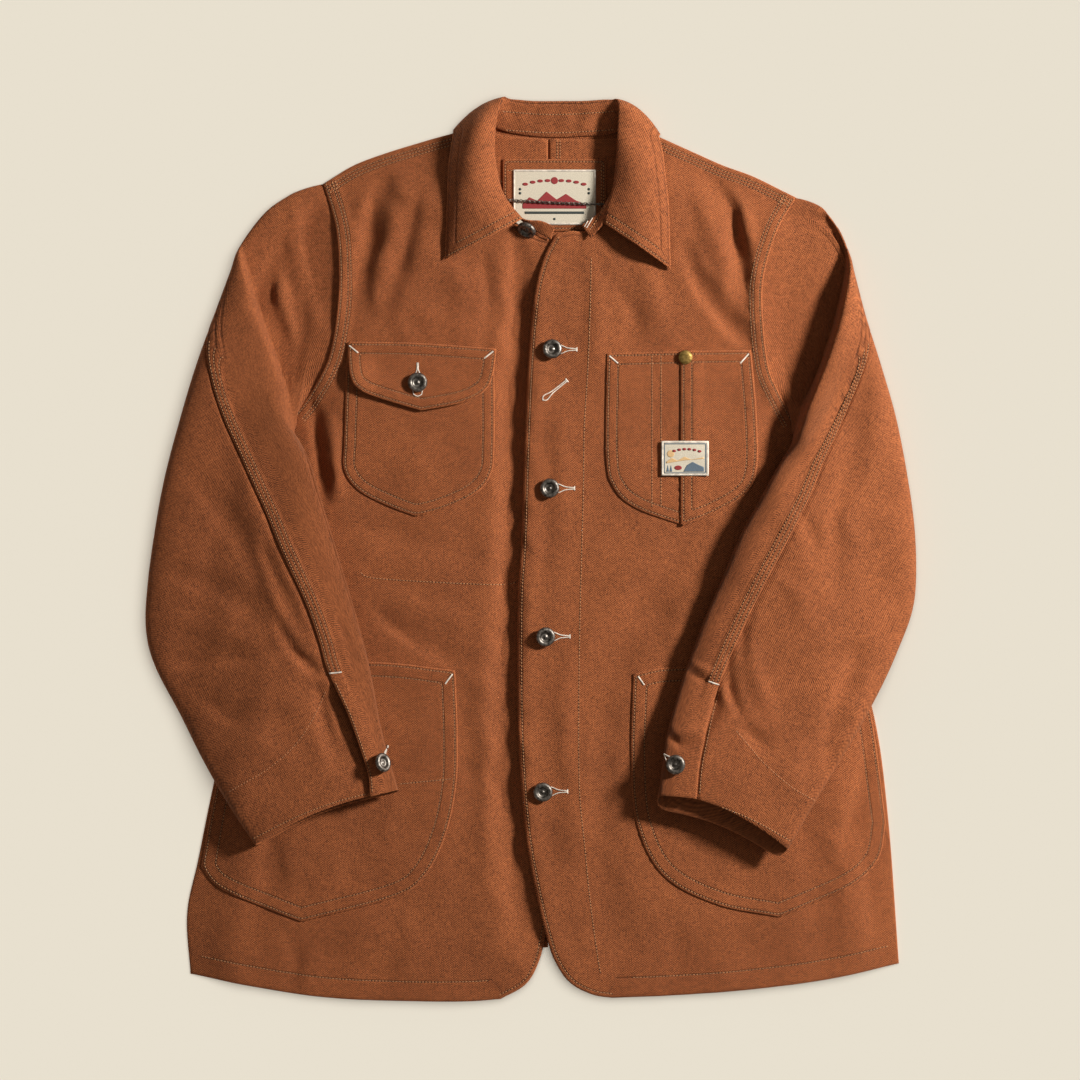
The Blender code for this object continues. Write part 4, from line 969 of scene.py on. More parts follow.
def make_fronts():
    """The fronts with their rows of stitches."""
    right = loop_of([SHOULDER_RIGHT, ARMHOLE_RIGHT, SIDE_RIGHT, HEM_RIGHT, CORNER_RIGHT, NECK_RIGHT[::-1],
                     [NECK_RIGHT[0], SHOULDER_RIGHT[0]]])
    left = loop_of([SHOULDER_LEFT, ARMHOLE_LEFT, SIDE_LEFT, HEM_LEFT, FRONT_EDGE[::-1], NECK_LEFT[::-1],
                    [NECK_LEFT[0], SHOULDER_LEFT[0]]])
    panel("front_panel_right", "front_right", right, right_front_top, rows=front_rows)
    panel("front_panel_left", "front_left", left, left_front_top, rows=front_rows)
    sew("stitches_fronts", ["front_panel_left"], beside(curve(FRONT_EDGE, 4.0), FRONT_EDGE_ROW))
    sew("stitches_fronts", ["front_panel_right"], beside(curve(CORNER_RIGHT[:5], 4.0), FRONT_EDGE_ROW))
    sew("stitches_fronts", ["front_panel_left"], curve(FACING_LEFT, 4.0))
    sew("stitches_fronts", ["front_panel_right"], curve(INNER_POCKET, 4.0))
    sew("stitches_fronts", ["front_panel_right"], beside(curve(HEM_RIGHT, 6.0), HEM_ROW)[1:-2])
    sew("stitches_fronts", ["front_panel_left"], beside(curve(HEM_LEFT, 6.0), -HEM_ROW)[1:-3])
    sides = ((-1, "front_panel_right", SHOULDER_RIGHT), (1, "front_panel_left", SHOULDER_LEFT))
    for side, name, shoulder in sides:
        for width in ARMHOLE_ROWS:
            sew("stitches_fronts", [name], beside(curve(ARMHOLES[side][::-1], 4.0), side * width))
        for width in SHOULDER_ROWS:
            sew("stitches_fronts", [name], beside(curve(shoulder, 4.0), -side * width))


def make_pockets():
    """The pockets and the flap, from the fronts' heights moved up."""
    chest, flap = loop_of(CHEST_RIGHT), loop_of(FLAP_RIGHT)
    inner, outer = loop_of(CHEST_LEFT_INNER), loop_of(CHEST_LEFT_OUTER)
    lower_right, lower_left = loop_of(LOWER_RIGHT), loop_of(LOWER_LEFT)
    on_right, on_left = moved_up(right_front_top, GAP), moved_up(front_top, GAP)
    table = (
        ("chest_pocket_right", "pocket_chest_right", chest, on_right, CHEST_ROWS, "right"),
        ("chest_flap_right", "flap_chest_right", flap, flap_height, CHEST_ROWS, "right"),
        ("chest_pocket_left_inner", "pocket_chest_left_inner", inner, on_left, CHEST_ROWS, "left"),
        ("chest_pocket_left_outer", "pocket_chest_left_outer", outer, lapped, OUTER_CHEST_ROWS, "left"),
        ("lower_pocket_right", "pocket_lower_right", lower_right, on_right, LOWER_ROWS, "right"),
        ("lower_pocket_left", "pocket_lower_left", lower_left, on_left, LOWER_ROWS, "left"),
    )
    for name, node_name, loop, height, depths, side_name in table:
        panel(name, node_name, loop, height, above=1.0, rows=depths, step=3.0)
        sew_inset("stitches_pockets", [name], loop, depths)
    for x in PENCIL_ROWS:
        sew("stitches_pockets", ["chest_pocket_left_inner"], np.array([(x, 168.0), (x, 36.0)]))
    sew("stitches_pockets", ["lower_pocket_right"], np.array([(-115.0, -205.5), (-70.0, -201.0)]))


def flap_height(points):
    """Height of the flap, whose free edge lifts a little between its corners."""
    free_edge = curve(FLAP_RIGHT[1] + FLAP_RIGHT[2][1:4], 5.0)
    lift = FLAP_LIFT * (1.0 - smooth(0.0, 26.0, nearest(points, free_edge)[0]))
    side = FLAP_SIDE_LIFT * (1.0 - smooth(-160.0, -128.0, points[:, 0]))
    return right_front_top(points) + GAP + OVERLAY + (lift + side) * (1.0 - smooth(150.0, 177.0, points[:, 1]))


def body_lift(x, y):
    """How high a sleeve's underside lies over a body front and its pockets."""
    within = np.minimum(x - across(BODY_RIGHT, y), across(BODY_LEFT, y) - x)
    height = SEAM_RISE + 2 * OVERLAY + HOLLOW * smooth(-14.0, HOLLOW_REACH - 10.0, within)
    return height * smooth(-50.0, -4.0, within)


def armhole_ring(side, turn):
    """Points where the sleeve is set in, just under the body's armhole."""
    share = 0.5 - 0.5 * np.cos(2 * math.pi * turn)
    line = evenly(ARMHOLES[side][::-1], 1.0)
    far = lengths(line)
    flat = np.stack([np.interp(share * far[-1], far, axis) for axis in line.T], -1)
    flat = flat + np.array((-side * 2.5, 0.0))
    top = front_top(flat.reshape(-1, 2)).reshape(share.shape) - CLOTH * 1.5 - 0.5
    top = np.maximum(top, CLOTH)
    edge = np.sqrt(np.maximum(1.0 - np.abs(2 * share - 1) ** UNDER_ROUNDNESS, 0.0))
    on_top = (turn % 1.0) < 0.5
    height = CLOTH / 2 + (top - CLOTH / 2) / 2 * (1 + np.where(on_top, edge, -edge))
    return np.concatenate([flat, height[..., None]], -1)


def sleeve_places(side, rows, along, turn):
    """Points on the middle of a sleeve's wall, for rows of the fine table and turns round them."""
    inner = np.stack([rows["inner_x"], rows["inner_y"]], -1)[:, None]
    outer = np.stack([rows["outer_x"], rows["outer_y"]], -1)[:, None]
    share = 0.5 - 0.5 * np.cos(2 * math.pi * turn)
    run = outer - inner
    width = np.linalg.norm(run, axis=-1, keepdims=True)
    flat = inner + run * share[..., None]
    sideways = np.stack([run[..., 1], -run[..., 0]], -1) * -side / width
    flat = flat + sideways * (rows["bow"][:, None] * np.sin(math.pi * share))[..., None]
    on_top = (turn % 1.0) < 0.5
    roundness = np.where(on_top, TOP_ROUNDNESS, UNDER_ROUNDNESS)
    edge = np.sqrt(np.maximum(1.0 - np.abs(2 * share - 1) ** roundness, 0.0))
    last = along.max()
    lip = np.clip(along - (last - 1.0), 0.0, 1.0)[:, None] * CUFF_LIPS[side] * np.where(on_top, 0.0, edge)
    ahead = np.stack([-run[..., 1], run[..., 0]], -1) * -side / width
    seam = rows["seam"][:, None]
    from_vent = np.clip(np.minimum(turn / seam, (CUFF_TURN - turn) / (CUFF_TURN - seam)), 0.0, 1.0)
    lip = lip - CUFF_CUT[side] * from_vent * on_top * smooth(last - 3.0, last, along)[:, None]
    flat = flat + ahead * lip[..., None]
    rise = rows["rise_in"][:, None] + (rows["rise_out"] - rows["rise_in"])[:, None] * share
    base = CLOTH / 2 + rows["on_body"][:, None] * body_lift(flat[..., 0], flat[..., 1])
    base = base + CUFF_LIFT[side] * smooth(last - 5.0, last, along)[:, None]
    height = base + rise / 2 * (1 + np.where(on_top, edge, -edge))
    height += on_top * edge * sleeve_relief(side, flat.reshape(-1, 2)).reshape(height.shape)
    height = np.where(on_top, np.maximum(height, base + CAP_THICKNESS * edge), height)
    made = np.concatenate([flat, height[..., None]], -1)
    start = smooth(0.0, 1.0, along)[:, None, None]
    return armhole_ring(side, turn) * (1.0 - start) + made * start


def sleeve_relief(side, points):
    """What creases and the fold over the cap add to a sleeve's upper face."""
    table = SLEEVE_CREASES_RIGHT if side < 0 else SLEEVE_CREASES_LEFT
    soft = creases(points, table) + 0.5 * drift(points, 90.0, 20 + side) + 0.18 * drift(points, 32.0, 25 + side)
    line = curve(CAP_FOLD_RIGHT if side < 0 else CAP_FOLD_LEFT, 5.0)
    distance, along, turn = nearest(points, line)
    outward = distance * turn * side
    cap = 1.0 - smooth(-2.2, 1.6, outward)
    valley = 0.8 + 0.2 * np.exp(-((outward + 4.0) / 22.0) ** 2)
    near_body = smooth(5.0, 32.0, nearest(points, ARMHOLES[side])[0])
    shoulder_end = smooth(4.0, 36.0, along)
    arm_edge = np.exp(-(np.maximum(outward - 3.0, 0.0) / 15.0) ** 2) * smooth(0.0, 3.0, outward)
    return soft + (CAP_EDGE[side] * arm_edge - CAP_DEPTH[side] * cap * valley * near_body) * shoulder_end


def make_sleeve(side_name, side, table):
    """The top and the under piece of a sleeve, lapped at the back-arm seam."""
    steps = 12
    along = np.arange((len(table) - 1) * steps + 1) / steps
    fine = through(np.array(table), [steps] * (len(table) - 1))
    rows = dict(zip(SLEEVE_COLUMNS, fine.T))
    width = np.hypot(rows["outer_x"] - rows["inner_x"], rows["outer_y"] - rows["inner_y"])
    seam = rows["seam"]
    fuller = 1.0 + (CUFF_RISE[side] - 1.0) * smooth(6.0, 10.0, along)
    rows["rise_in"] = rows["rise_in"] * fuller
    rows["rise_out"] = rows["rise_out"] * (0.5 + 0.5 * fuller)
    per_turn = math.pi * width * np.maximum(np.abs(np.sin(2 * math.pi * seam)), 0.25)
    seam_y = rows["inner_y"] + (rows["outer_y"] - rows["inner_y"]) * (0.5 - 0.5 * np.cos(2 * math.pi * seam))
    vent = smooth(0.0, 26.0, VENT_TOP[side] - seam_y) * (along > 8)
    shown = 1.0 - smooth(0.44, 0.52, seam)
    for part, columns in (("top", 56), ("under", 110)):
        share = np.linspace(0.0, 1.0, columns + 1)
        if part == "top":
            first, last = np.full(len(along), UNDER_SEAM), seam
        else:
            first, last = seam - LAP_UNDER / per_turn, np.full(len(along), 1.0 + UNDER_SEAM)
        ends = np.array([0.0, 0.5, 1.2, 2.2])
        near = (ends[1:] / (last - first)[:, None] / per_turn[:, None])
        inner_share = share[None, 1:-1] * (1 - 2 * near[:, -1:]) + near[:, -1:]
        spread = np.concatenate([np.zeros((len(along), 1)), near, inner_share, 1 - near[:, ::-1],
                                 np.ones((len(along), 1))], 1)
        turn = first[:, None] + (last - first)[:, None] * spread
        grid = sleeve_places(side, rows, along, turn)
        from_seam = (turn - seam[:, None]) * per_turn[:, None]
        count = grid.shape[1]
        start = np.arange(len(along) - 1)[:, None] * count + np.arange(count - 1)[None]
        quads = np.stack([start, start + 1, start + count + 1, start + count], -1).reshape(-1, 4)
        if side > 0:
            quads = quads[:, ::-1]
        points = grid.reshape(-1, 3)
        normal = normals_of(points, quads)
        widths = np.linalg.norm(np.diff(grid, axis=1), axis=2)
        far = np.concatenate([np.zeros((len(along), 1)), np.cumsum(widths, 1)], 1)
        down = np.concatenate([np.zeros((1, count)), np.cumsum(np.linalg.norm(np.diff(grid, axis=0), axis=2), 0)])
        if part == "top":
            band = 1.0 - smooth(BAND_WIDTH - 1.0, BAND_WIDTH + 1.2, -from_seam)
            out = BAND_RISE * band * (1.0 - vent[:, None]) * shown[:, None]
            out += VENT_LIFT[side] * vent[:, None] * (1.0 - smooth(0.0, 30.0, -from_seam))
            out -= EDGE_DROP * (1.0 - smooth(0.0, 1.8, -from_seam)) * shown[:, None]
            out += pucker(-from_seam, down, BAND_WIDTH, 2) * shown[:, None]
        else:
            out = -(CLOTH + 0.5) * (1.0 - smooth(0.4, 3.4, from_seam))
            top_sink, end_sink = VENT_SINK[side]
            sink = top_sink + (end_sink - top_sink) * smooth(2.5, 0.0, along.max() - along)[:, None]
            out -= sink * vent[:, None] * (1.0 - smooth(2.0, 34.0, from_seam))
        points = points + normal * out.reshape(-1, 1)
        edge = np.minimum(np.abs(from_seam) if part == "top" else 9.0 + 0 * from_seam, down[-1] - down)
        cloth = np.stack([far, down, np.full(far.shape, 0.45)], -1).reshape(-1, 3)
        name = f"sleeve_{side_name}_{part}_cloth"
        depths = np.where((part == "top") & (vent <= 0)[:, None, None], SLEEVE_ROWS, FAR_ROWS)
        depths = np.broadcast_to(depths, (*far.shape, 3)).reshape(-1, 3)
        obj = shell(name, f"sleeve_{side_name}_{part}", points, quads, CLOTH, 0.5, CANVAS, "canvas",
                    edge.reshape(-1), cloth, depths)
    names = [f"sleeve_{side_name}_top_cloth", f"sleeve_{side_name}_under_cloth"]
    sew_sleeve(side, names, rows, along, seam, per_turn, vent)


def sew_sleeve(side, names, rows, along, seam, per_turn, vent):
    """The rows along a sleeve's back-arm seam, its vent, its cuff and its facing."""
    group = "stitches_sleeves"
    on_top = (seam < CUFF_TURN) & (vent <= 0.0)
    for width in SLEEVE_ROWS:
        turn = (seam - width / per_turn)[:, None]
        line = sleeve_places(side, rows, along, turn)[:, 0, :2]
        sew(group, names[:1], line[on_top & (turn[:, 0] > 0.02)])
    strip = (vent > 0.05) & (along < along.max() - 0.15)
    turn = (seam - VENT_ROW[side] / per_turn)[:, None]
    line = sleeve_places(side, rows, along, turn)[:, 0, :2]
    sew(group, names[:1] if side < 0 else names[1:], line[strip])
    sew("pale_stitches", names[1:], curve(CUFF_FACINGS[side], 4.0), holes=False)
    back = along.max() - 0.12
    row = {column: float(np.interp(back, along, values)) for column, values in rows.items()}
    turns = np.linspace(float(np.interp(back, along, seam)) + 0.01, 0.47, 60)
    sew(group, names[1:], cuff_line(side, row, turns))


def cuff_line(side, row, turns):
    """Flat points across one section of a sleeve's upper face, near the cuff."""
    share = 0.5 - 0.5 * np.cos(2 * math.pi * turns)
    inner = np.array([row["inner_x"], row["inner_y"]])
    run = np.array([row["outer_x"], row["outer_y"]]) - inner
    sideways = np.array([run[1], -run[0]]) * -side / np.linalg.norm(run)
    return inner + run * share[:, None] + sideways * (row["bow"] * np.sin(math.pi * share))[:, None]


def make_collar():
    """The stand round the neck, and the fall folded over it, with its leaves' edges stitched twice."""
    steps = COLLAR_STEPS
    seam = through([row[0] for row in COLLAR], [steps] * (len(COLLAR) - 1))
    roll = through([row[1] for row in COLLAR], [steps] * (len(COLLAR) - 1))
    rise = roll - seam
    tall = np.linalg.norm(rise, axis=1)[:, None]
    share = np.linspace(0.0, 1.0, 11)[None, :, None]
    stand = seam[:, None] + rise[:, None] * (share * (1.0 - ROLL_GAP * 0.5 / tall[:, None]))
    wobble = drift(stand[..., :2].reshape(-1, 2), 26.0, 51).reshape(stand.shape[:2])
    stand[..., 2] += 0.8 * wobble * np.sin(math.pi * share[..., 0])
    place_grid("collar_stand_cloth", "collar_stand", stand, 9.0, "stand")
    stations = COLLAR[FALL_STATIONS]
    edges = np.array([row[3] for row in stations], float)
    free = edges[:, 2] == 0
    edges[free, 2] = front_top(edges[free, :2]) + LEAF_REST + CLOTH / 2
    count = [steps] * (len(stations) - 1)
    roll, crown, edge = (through(p, count) for p in ([r[1] for r in stations], [r[2] for r in stations], edges))
    t = np.linspace(0.0, 1.0, 27)[None, :, None]
    fall = roll[:, None] * (1 - t) ** 2 + crown[:, None] * 2 * t * (1 - t) + edge[:, None] * t ** 2
    flat = fall[..., :2].reshape(-1, 2)
    lively = (drift(flat, 60.0, 61) * 0.7 + drift(flat, 24.0, 62) * 0.25).reshape(fall.shape[:2])
    fall[..., 2] += lively * np.sin(math.pi * t[..., 0]) * (fall[..., 2] > 5.0)
    rims = [fall[0, :, :2], fall[-1, :, :2], edge[:LEAF_STATIONS * steps, :2], edge[-LEAF_STATIONS * steps:, :2]]
    near = np.min([nearest(flat, line)[0] for line in rims], axis=0)
    place_grid("collar_fall_cloth", "collar_fall", fall, near, "fall")
    for front, outer, left_of_front, left_of_outer in ((rims[0], rims[2], -1, 1), (rims[1], rims[3], 1, 1)):
        for width in COLLAR_ROWS:
            for line, way in ((front, left_of_front), (outer, left_of_outer)):
                row = beside(evenly(line, 3.0), way * width)
                clear = np.min([nearest(row, rim)[0] for rim in (front, outer)], axis=0) > 0.93 * width
                clear &= row[:, 1] < 352.0
                if clear.sum() > 2:
                    sew("stitches_collar", ["collar_fall_cloth"], row[clear])
    for y in (379.5, 364.0):
        sew("stitches_collar", ["collar_stand_cloth"], curve([(-26, y + 1), (20, y - 1.5), (72, y + 1)], 5.0))
    sew("stitches_collar", ["collar_stand_cloth"], curve([(12, 277), (-2, 284), (-12, 292)], 3.0))
    sew("stitches_collar", ["collar_stand_cloth"], curve([(50, 276), (58, 287), (66, 300)], 3.0))


def place_grid(name, node_name, grid, near, kind):
    """A piece of the collar from a grid of points on the middle of its wall."""
    rows, count = grid.shape[:2]
    start = np.arange(rows - 1)[:, None] * count + np.arange(count - 1)[None]
    quads = np.stack([start, start + count, start + count + 1, start + 1], -1).reshape(-1, 4)
    points = grid.reshape(-1, 3)
    cloth = np.column_stack([points[:, 0] * 0.9 + points[:, 1] * 0.5, points[:, 1] * 0.9 - points[:, 0] * 0.5,
                             np.full(len(points), 0.45)])
    depths = (*COLLAR_ROWS, FAR) if kind == "fall" else FAR_ROWS
    near = np.broadcast_to(near, len(points))
    obj = shell(name, node_name, points, quads, CLOTH, 0.5, CANVAS, "canvas", near, cloth, depths)


# ---- buttons, snap, chain, labels ----
def axis_of(node_name):
    """The foot of a button's head and the way it faces, from its solid in the frame."""
    mesh = frame["nodes"][node_name].data
    points = np.array([v.co for v in mesh.vertices]) / MM
    middle = points.mean(0)
    _, ways = np.linalg.eigh(np.cov((points - middle).T))
    way = ways[:, 0] * np.sign(ways[2, 0])
    return middle, way, float(((points - middle) @ way).max())


def lathe(name, node_name, profile, foot, way, material, slot, notches=0, turns=56):
    """A turned piece on a foot, its profile given from the top down, with notches on its crown."""
    angle = np.arange(turns) * 2 * math.pi / turns
    rings, faces, points = [], [], []
    for radius, height in profile:
        if radius == 0:
            rings.append([len(points)] * turns)
            points.append((0.0, 0.0, height))
            continue
        rings.append(list(range(len(points), len(points) + turns)))
        carved = notches and 0.55 * BUTTON_RADIUS < radius < 0.93 * BUTTON_RADIUS
        wave = 0.16 * np.cos(notches * angle + radius * 1.7) if carved else 0.0 * angle
        points += list(zip(radius * np.cos(angle), radius * np.sin(angle), height + wave))
    for upper, lower in zip(rings, rings[1:]):
        for k in range(turns):
            face = [upper[k], lower[k], lower[(k + 1) % turns], upper[(k + 1) % turns]]
            faces.append(list(dict.fromkeys(face)))
    side = np.cross((0.0, 1.0, 0.0), way)
    side /= np.linalg.norm(side)
    axes = np.array([side, np.cross(way, side), way])
    return build(name, np.array(points) @ axes + foot, faces, material, slot, (node_name,))


def button_profile():
    """A doughnut tack button: a raised ring, a groove, a dished middle with a boss, and a shank below."""
    r, h = BUTTON_RADIUS, BUTTON_HEIGHT
    ring = [(r * (0.74 + 0.26 * math.sin(a)), h * (0.5 + 0.5 * math.cos(a))) for a in np.linspace(-1.25, 2.9, 16)]
    centre = [(0.0, 0.66 * h), (0.08 * r, 0.65 * h), (0.16 * r, 0.58 * h), (0.2 * r, 0.5 * h), (0.34 * r, 0.46 * h),
              (0.44 * r, 0.5 * h)]
    return centre + ring + [(0.3 * r, 0.0), (0.29 * r, -1.6), (0.0, -1.6)]


def make_buttons():
    """The eight tack buttons and the pocket's snap."""
    for node_name, (lean, shift) in BUTTON_LEANS.items():
        middle, way, top = axis_of(node_name)
        foot = middle + way * (top - BUTTON_HEIGHT) + shift
        if node_name in CUFF_BUTTON_REST:
            foot[2] = drop(SURFACES, [foot[:2]])[0][0][2] + CUFF_BUTTON_REST[node_name]
        way = way + lean
        way /= np.linalg.norm(way)
        lathe("tack_" + node_name, node_name, button_profile(), foot, way, NICKEL, "nickel", notches=26)
    middle, way, top = axis_of("pocket_snap")
    shares = ((0.0, 2.0), (0.3, 1.97), (0.6, 1.8), (0.78, 1.5), (0.86, 1.2), (0.93, 1.25), (1.0, 0.9),
              (1.02, 0.5), (0.98, 0.0), (0.0, 0.0))
    profile = [(SNAP_RADIUS * share, height) for share, height in shares]
    lathe("snap_cap", "pocket_snap", profile, middle + way * (top - 2.0), way, BRASS, "brass")


def keyhole(name, start, run, cross, stations, step=2.0):
    """The two sides of a worked buttonhole, through stations (how far along it, half its width)."""
    for side in (1, -1):
        path = [start + run * far + cross * side * half for far, half in stations]
        satin("white_buttonholes", [name], curve(path, step), 1.0)


def middle_of(node_name):
    """x and y of the middle of a solid of the frame."""
    low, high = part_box(node_name)
    return np.array(((low + high) / 2 / MM)[:2])


def make_buttonholes():
    """White keyhole buttonholes and bar tacks."""
    names = list(SURFACES)
    along_x, along_y = np.eye(2)
    for node_name in FRONT_BUTTONS:
        spot = middle_of(node_name)
        keyhole("front_panel_left", spot, along_x, along_y, ((3.5, 4.2), (8.5, 3.4), (13.0, 1.4), (21.0, 0.55)))
        satin("white_buttonholes", ["front_panel_left"], [spot + (21.4, -1.5), spot + (21.4, 1.5)], 1.3)
    spot = middle_of("button_flap")
    keyhole("chest_flap_right", spot, along_y, along_x,
            ((-10.5, 3.4), (-4.0, 4.4), (6.0, 2.6), (11.0, 0.6), (17.0, 0.55)))
    satin("white_buttonholes", ["chest_flap_right"],
          curve([spot + (3.4, -10.5), spot + (0.0, -12.0), spot + (-3.4, -10.5)], 1.0), 1.0)
    start, end = LOOSE_BUTTONHOLE
    run = (end - start) / math.hypot(*(end - start))
    cross = np.array((-run[1], run[0]))
    keyhole("front_panel_left", start, run, cross,
            ((-1.6, 0.0), (0.6, 2.2), (4.0, 2.0), (9.0, 0.9), (25.0, 0.6)), step=1.5)
    satin("white_buttonholes", ["front_panel_left"],
          np.array([start + run * 25.5 - cross * 1.6, start + run * 25.5 + cross * 1.6]), 1.3)
    for row in BAR_TACKS:
        tack = dict(zip(BAR_COLUMNS, row))
        satin("white_bar_tacks", names, [(tack["x0"], tack["y0"]), (tack["x1"], tack["y1"])], 1.5)
    cuffs = (("button_cuff_right", (3.0, 15.0), (1.2, 8.0)), ("button_cuff_left", (-11.0, 8.0), (-4.0, 5.0)))
    for node_name, far, near in cuffs:
        place = middle_of(node_name)
        satin("white_buttonholes", names, np.array([place + far, place + near]), 1.7)
        bow = [place + far, place + (np.array(near) + far) * 0.5 + (-2.0, -3.0),
               place + near + np.array((-2.5, -7.0))]
        satin("white_buttonholes", names, curve(bow, 1.5), 0.9)
    collar = np.array([(47.0, 279.0), (57.0, 296.0)])
    for shift in (-0.9, 0.9):
        satin("white_buttonholes", ["collar_stand_cloth"], collar + (shift, -shift * 0.6), 1.0)


def make_chain():
    """The hanger: a fine chain of oval links across the neck."""
    route = evenly(curve(CHAIN, 3.0), 2.15)
    link_long, link_wide, wire = 1.75, 1.05, 0.34
    around, tube = 12, 6
    points, faces = [], []
    for number, (place, ahead) in enumerate(zip(route[:-1], np.diff(route, axis=0))):
        ahead = ahead / np.linalg.norm(ahead)
        tilt = 0.35 if number % 2 else 1.25
        level = np.cross((0, 0, 1), ahead)
        level /= np.linalg.norm(level)
        side = level * math.cos(tilt) + np.cross(ahead, level) * math.sin(tilt)
        out = np.cross(ahead, side)
        for i in range(around):
            a = 2 * math.pi * i / around
            spoke = ahead * math.cos(a) * link_long + side * math.sin(a) * link_wide
            unit = spoke / np.linalg.norm(spoke)
            for j in range(tube):
                b = 2 * math.pi * j / tube
                points.append(place + spoke + (unit * math.cos(b) + out * math.sin(b)) * wire)
        start = number * around * tube
        for i in range(around):
            for j in range(tube):
                near, far = start + i * tube, start + (i + 1) % around * tube
                faces.append((near + j, near + (j + 1) % tube, far + (j + 1) % tube, far + j))
    build("hanger_links", points, faces, NICKEL, "nickel", ("hanger_chain",))


def motif(name, outlines, height, material, rise):
    """Thin woven shapes that lie on a label, as one piece."""
    points, faces, cloth = [], [], []
    for outline in outlines:
        loop = evenly(closed(np.asarray(outline, float)), 1.2)[:-1]
        flat, triangles = net(loop, 1.4, (0.5,))
        start = sum(len(p) for p in points)
        top = np.column_stack([flat, height(flat) + rise])
        low = np.column_stack([flat, height(flat) + 0.02])
        ends = np.concatenate([triangles[:, [k, (k + 1) % 3]] for k in range(3)])
        count = len(flat)
        rim = ends[~np.isin(ends[:, 0] * count + ends[:, 1], ends[:, 1] * count + ends[:, 0])]
        sides = np.stack([rim[:, 1], rim[:, 0], rim[:, 0] + count, rim[:, 1] + count], 1)
        points += [top, low]
        faces += [(f + start).tolist() for f in (triangles, triangles[:, ::-1] + count, sides)]
    points = np.concatenate(points)
    build(name, points, [face for group in faces for face in group], material, "woven_label", cloth=points)


def disc(x, y, radius, count, squash=1.0):
    """The outline of a disc, or of an oval."""
    turn = np.arange(count) * 2 * math.pi / count
    return np.stack([x + radius * np.cos(turn), y + radius * squash * np.sin(turn)], 1)


def make_labels():
    """The woven labels of the neck and the chest pocket, with plain motifs of hills, sun, leaves and bands."""
    neck = moved_up(back_top, GAP + 0.2 + OVERLAY + LABEL_CLOTH)
    panel("neck_label_cloth", "neck_label", loop_of(NECK_LABEL), moved_up(neck, -LABEL_CLOTH), wall=LABEL_CLOTH,
          above=1.0, step=2.4, rings=(0.8,), material=CREAM, slot="woven_label")
    left, right = NECK_LABEL[0][0][0], NECK_LABEL[0][1][0]
    middle = (left + right) / 2
    hills = [(left + x, y) for x, y in ((8, 300), (14, 306), (21, 303), (29, 311), (38, 304), (46, 309),
                                        (55, 303), (64, 300), (64, 296), (8, 296))]
    leaves = [disc(middle + side * (6 + 6.5 * k), 320.5 - 0.35 * k * k, 2.7, 14, 0.52) for k in range(4)
              for side in (-1, 1)]
    motif("neck_label_red", [hills, disc(middle, 320.5, 3.2, 16), *leaves], neck, LABEL_RED, 0.14)
    bands = [[(left + 10, 293.6), (right - 10, 293.6), (right - 10, 291.4), (left + 10, 291.4)]]
    sprigs = [disc(x, y, 1.3, 10) for x in (left + 6, right - 6) for y in (313.0, 309.5)]
    motif("neck_label_dark", [*bands, *sprigs, disc(middle, 287.0, 1.2, 10)], neck, LABEL_DARK, 0.16)
    overlocked("white_label_edges", "neck_label_cloth", NECK_LABEL)
    pocket = moved_up(front_top, GAP + 2 * OVERLAY + LABEL_CLOTH)
    panel("pocket_label_cloth", "pocket_label", loop_of(POCKET_LABEL), moved_up(pocket, -LABEL_CLOTH),
          wall=LABEL_CLOTH, above=1.0, step=2.4, rings=(0.8,), material=CREAM, slot="woven_label")
    (x0, y1), (x1, _) = POCKET_LABEL[0]
    y0 = POCKET_LABEL[1][1][1]
    bars = []
    for ax, ay, bx, by in ((x0 + 2.2, y1 - 2.8, x1 - 2.2, y1 - 2.0), (x0 + 2.2, y0 + 2.0, x1 - 2.2, y0 + 2.8),
                           (x0 + 2.2, y0 + 2.8, x0 + 3.0, y1 - 2.8), (x1 - 3.0, y0 + 2.8, x1 - 2.2, y1 - 2.8)):
        bars.append([(ax, by), (bx, by), (bx, ay), (ax, ay)])
    hill = [(x0 + 19, y0 + 3.4), (x0 + 22, y0 + 9), (x0 + 27, y0 + 12), (x0 + 32, y0 + 9.4), (x1 - 4, y0 + 7.4),
            (x1 - 4, y0 + 3.4)]
    trees = [[(x0 + k, y0 + 3.4), (x0 + k + 1.3, y0 + 9.6), (x0 + k + 2.6, y0 + 3.4)] for k in (4.2, 7.0)]
    motif("pocket_label_blue", [*bars, hill, *trees], pocket, LABEL_BLUE, 0.14)
    far_hills = [(x0 + 4, y0 + 12), (x0 + 9, y0 + 15.5), (x0 + 14, y0 + 13), (x0 + 20, y0 + 16.5),
                 (x0 + 26, y0 + 14), (x1 - 4, y0 + 16), (x1 - 4, y0 + 14.6), (x0 + 20, y0 + 13.2),
                 (x0 + 4, y0 + 10.6)]
    motif("pocket_label_gold", [disc(x0 + 8, y0 + 19, 3.2, 16), far_hills], pocket, LABEL_GOLD, 0.12)
    leaf_row = [disc(x0 + 11 + 4.4 * k, y1 - 7.0 - 0.28 * (k - 2.4) ** 2, 1.9, 12, 0.62) for k in range(6)]
    motif("pocket_label_red", [*leaf_row, disc(x0 + 14.5, y0 + 6.8, 3.4, 14, 0.6)], pocket, LABEL_RED, 0.14)
    overlocked("white_label_edges", "pocket_label_cloth", POCKET_LABEL)


def overlocked(group, name, stretches):
    """The close pale threads that bind a label's edge."""
    satin(group, [name], closed(inset(loop_of(stretches, 1.0), 0.9)), 1.7, 0.62, 0.12)


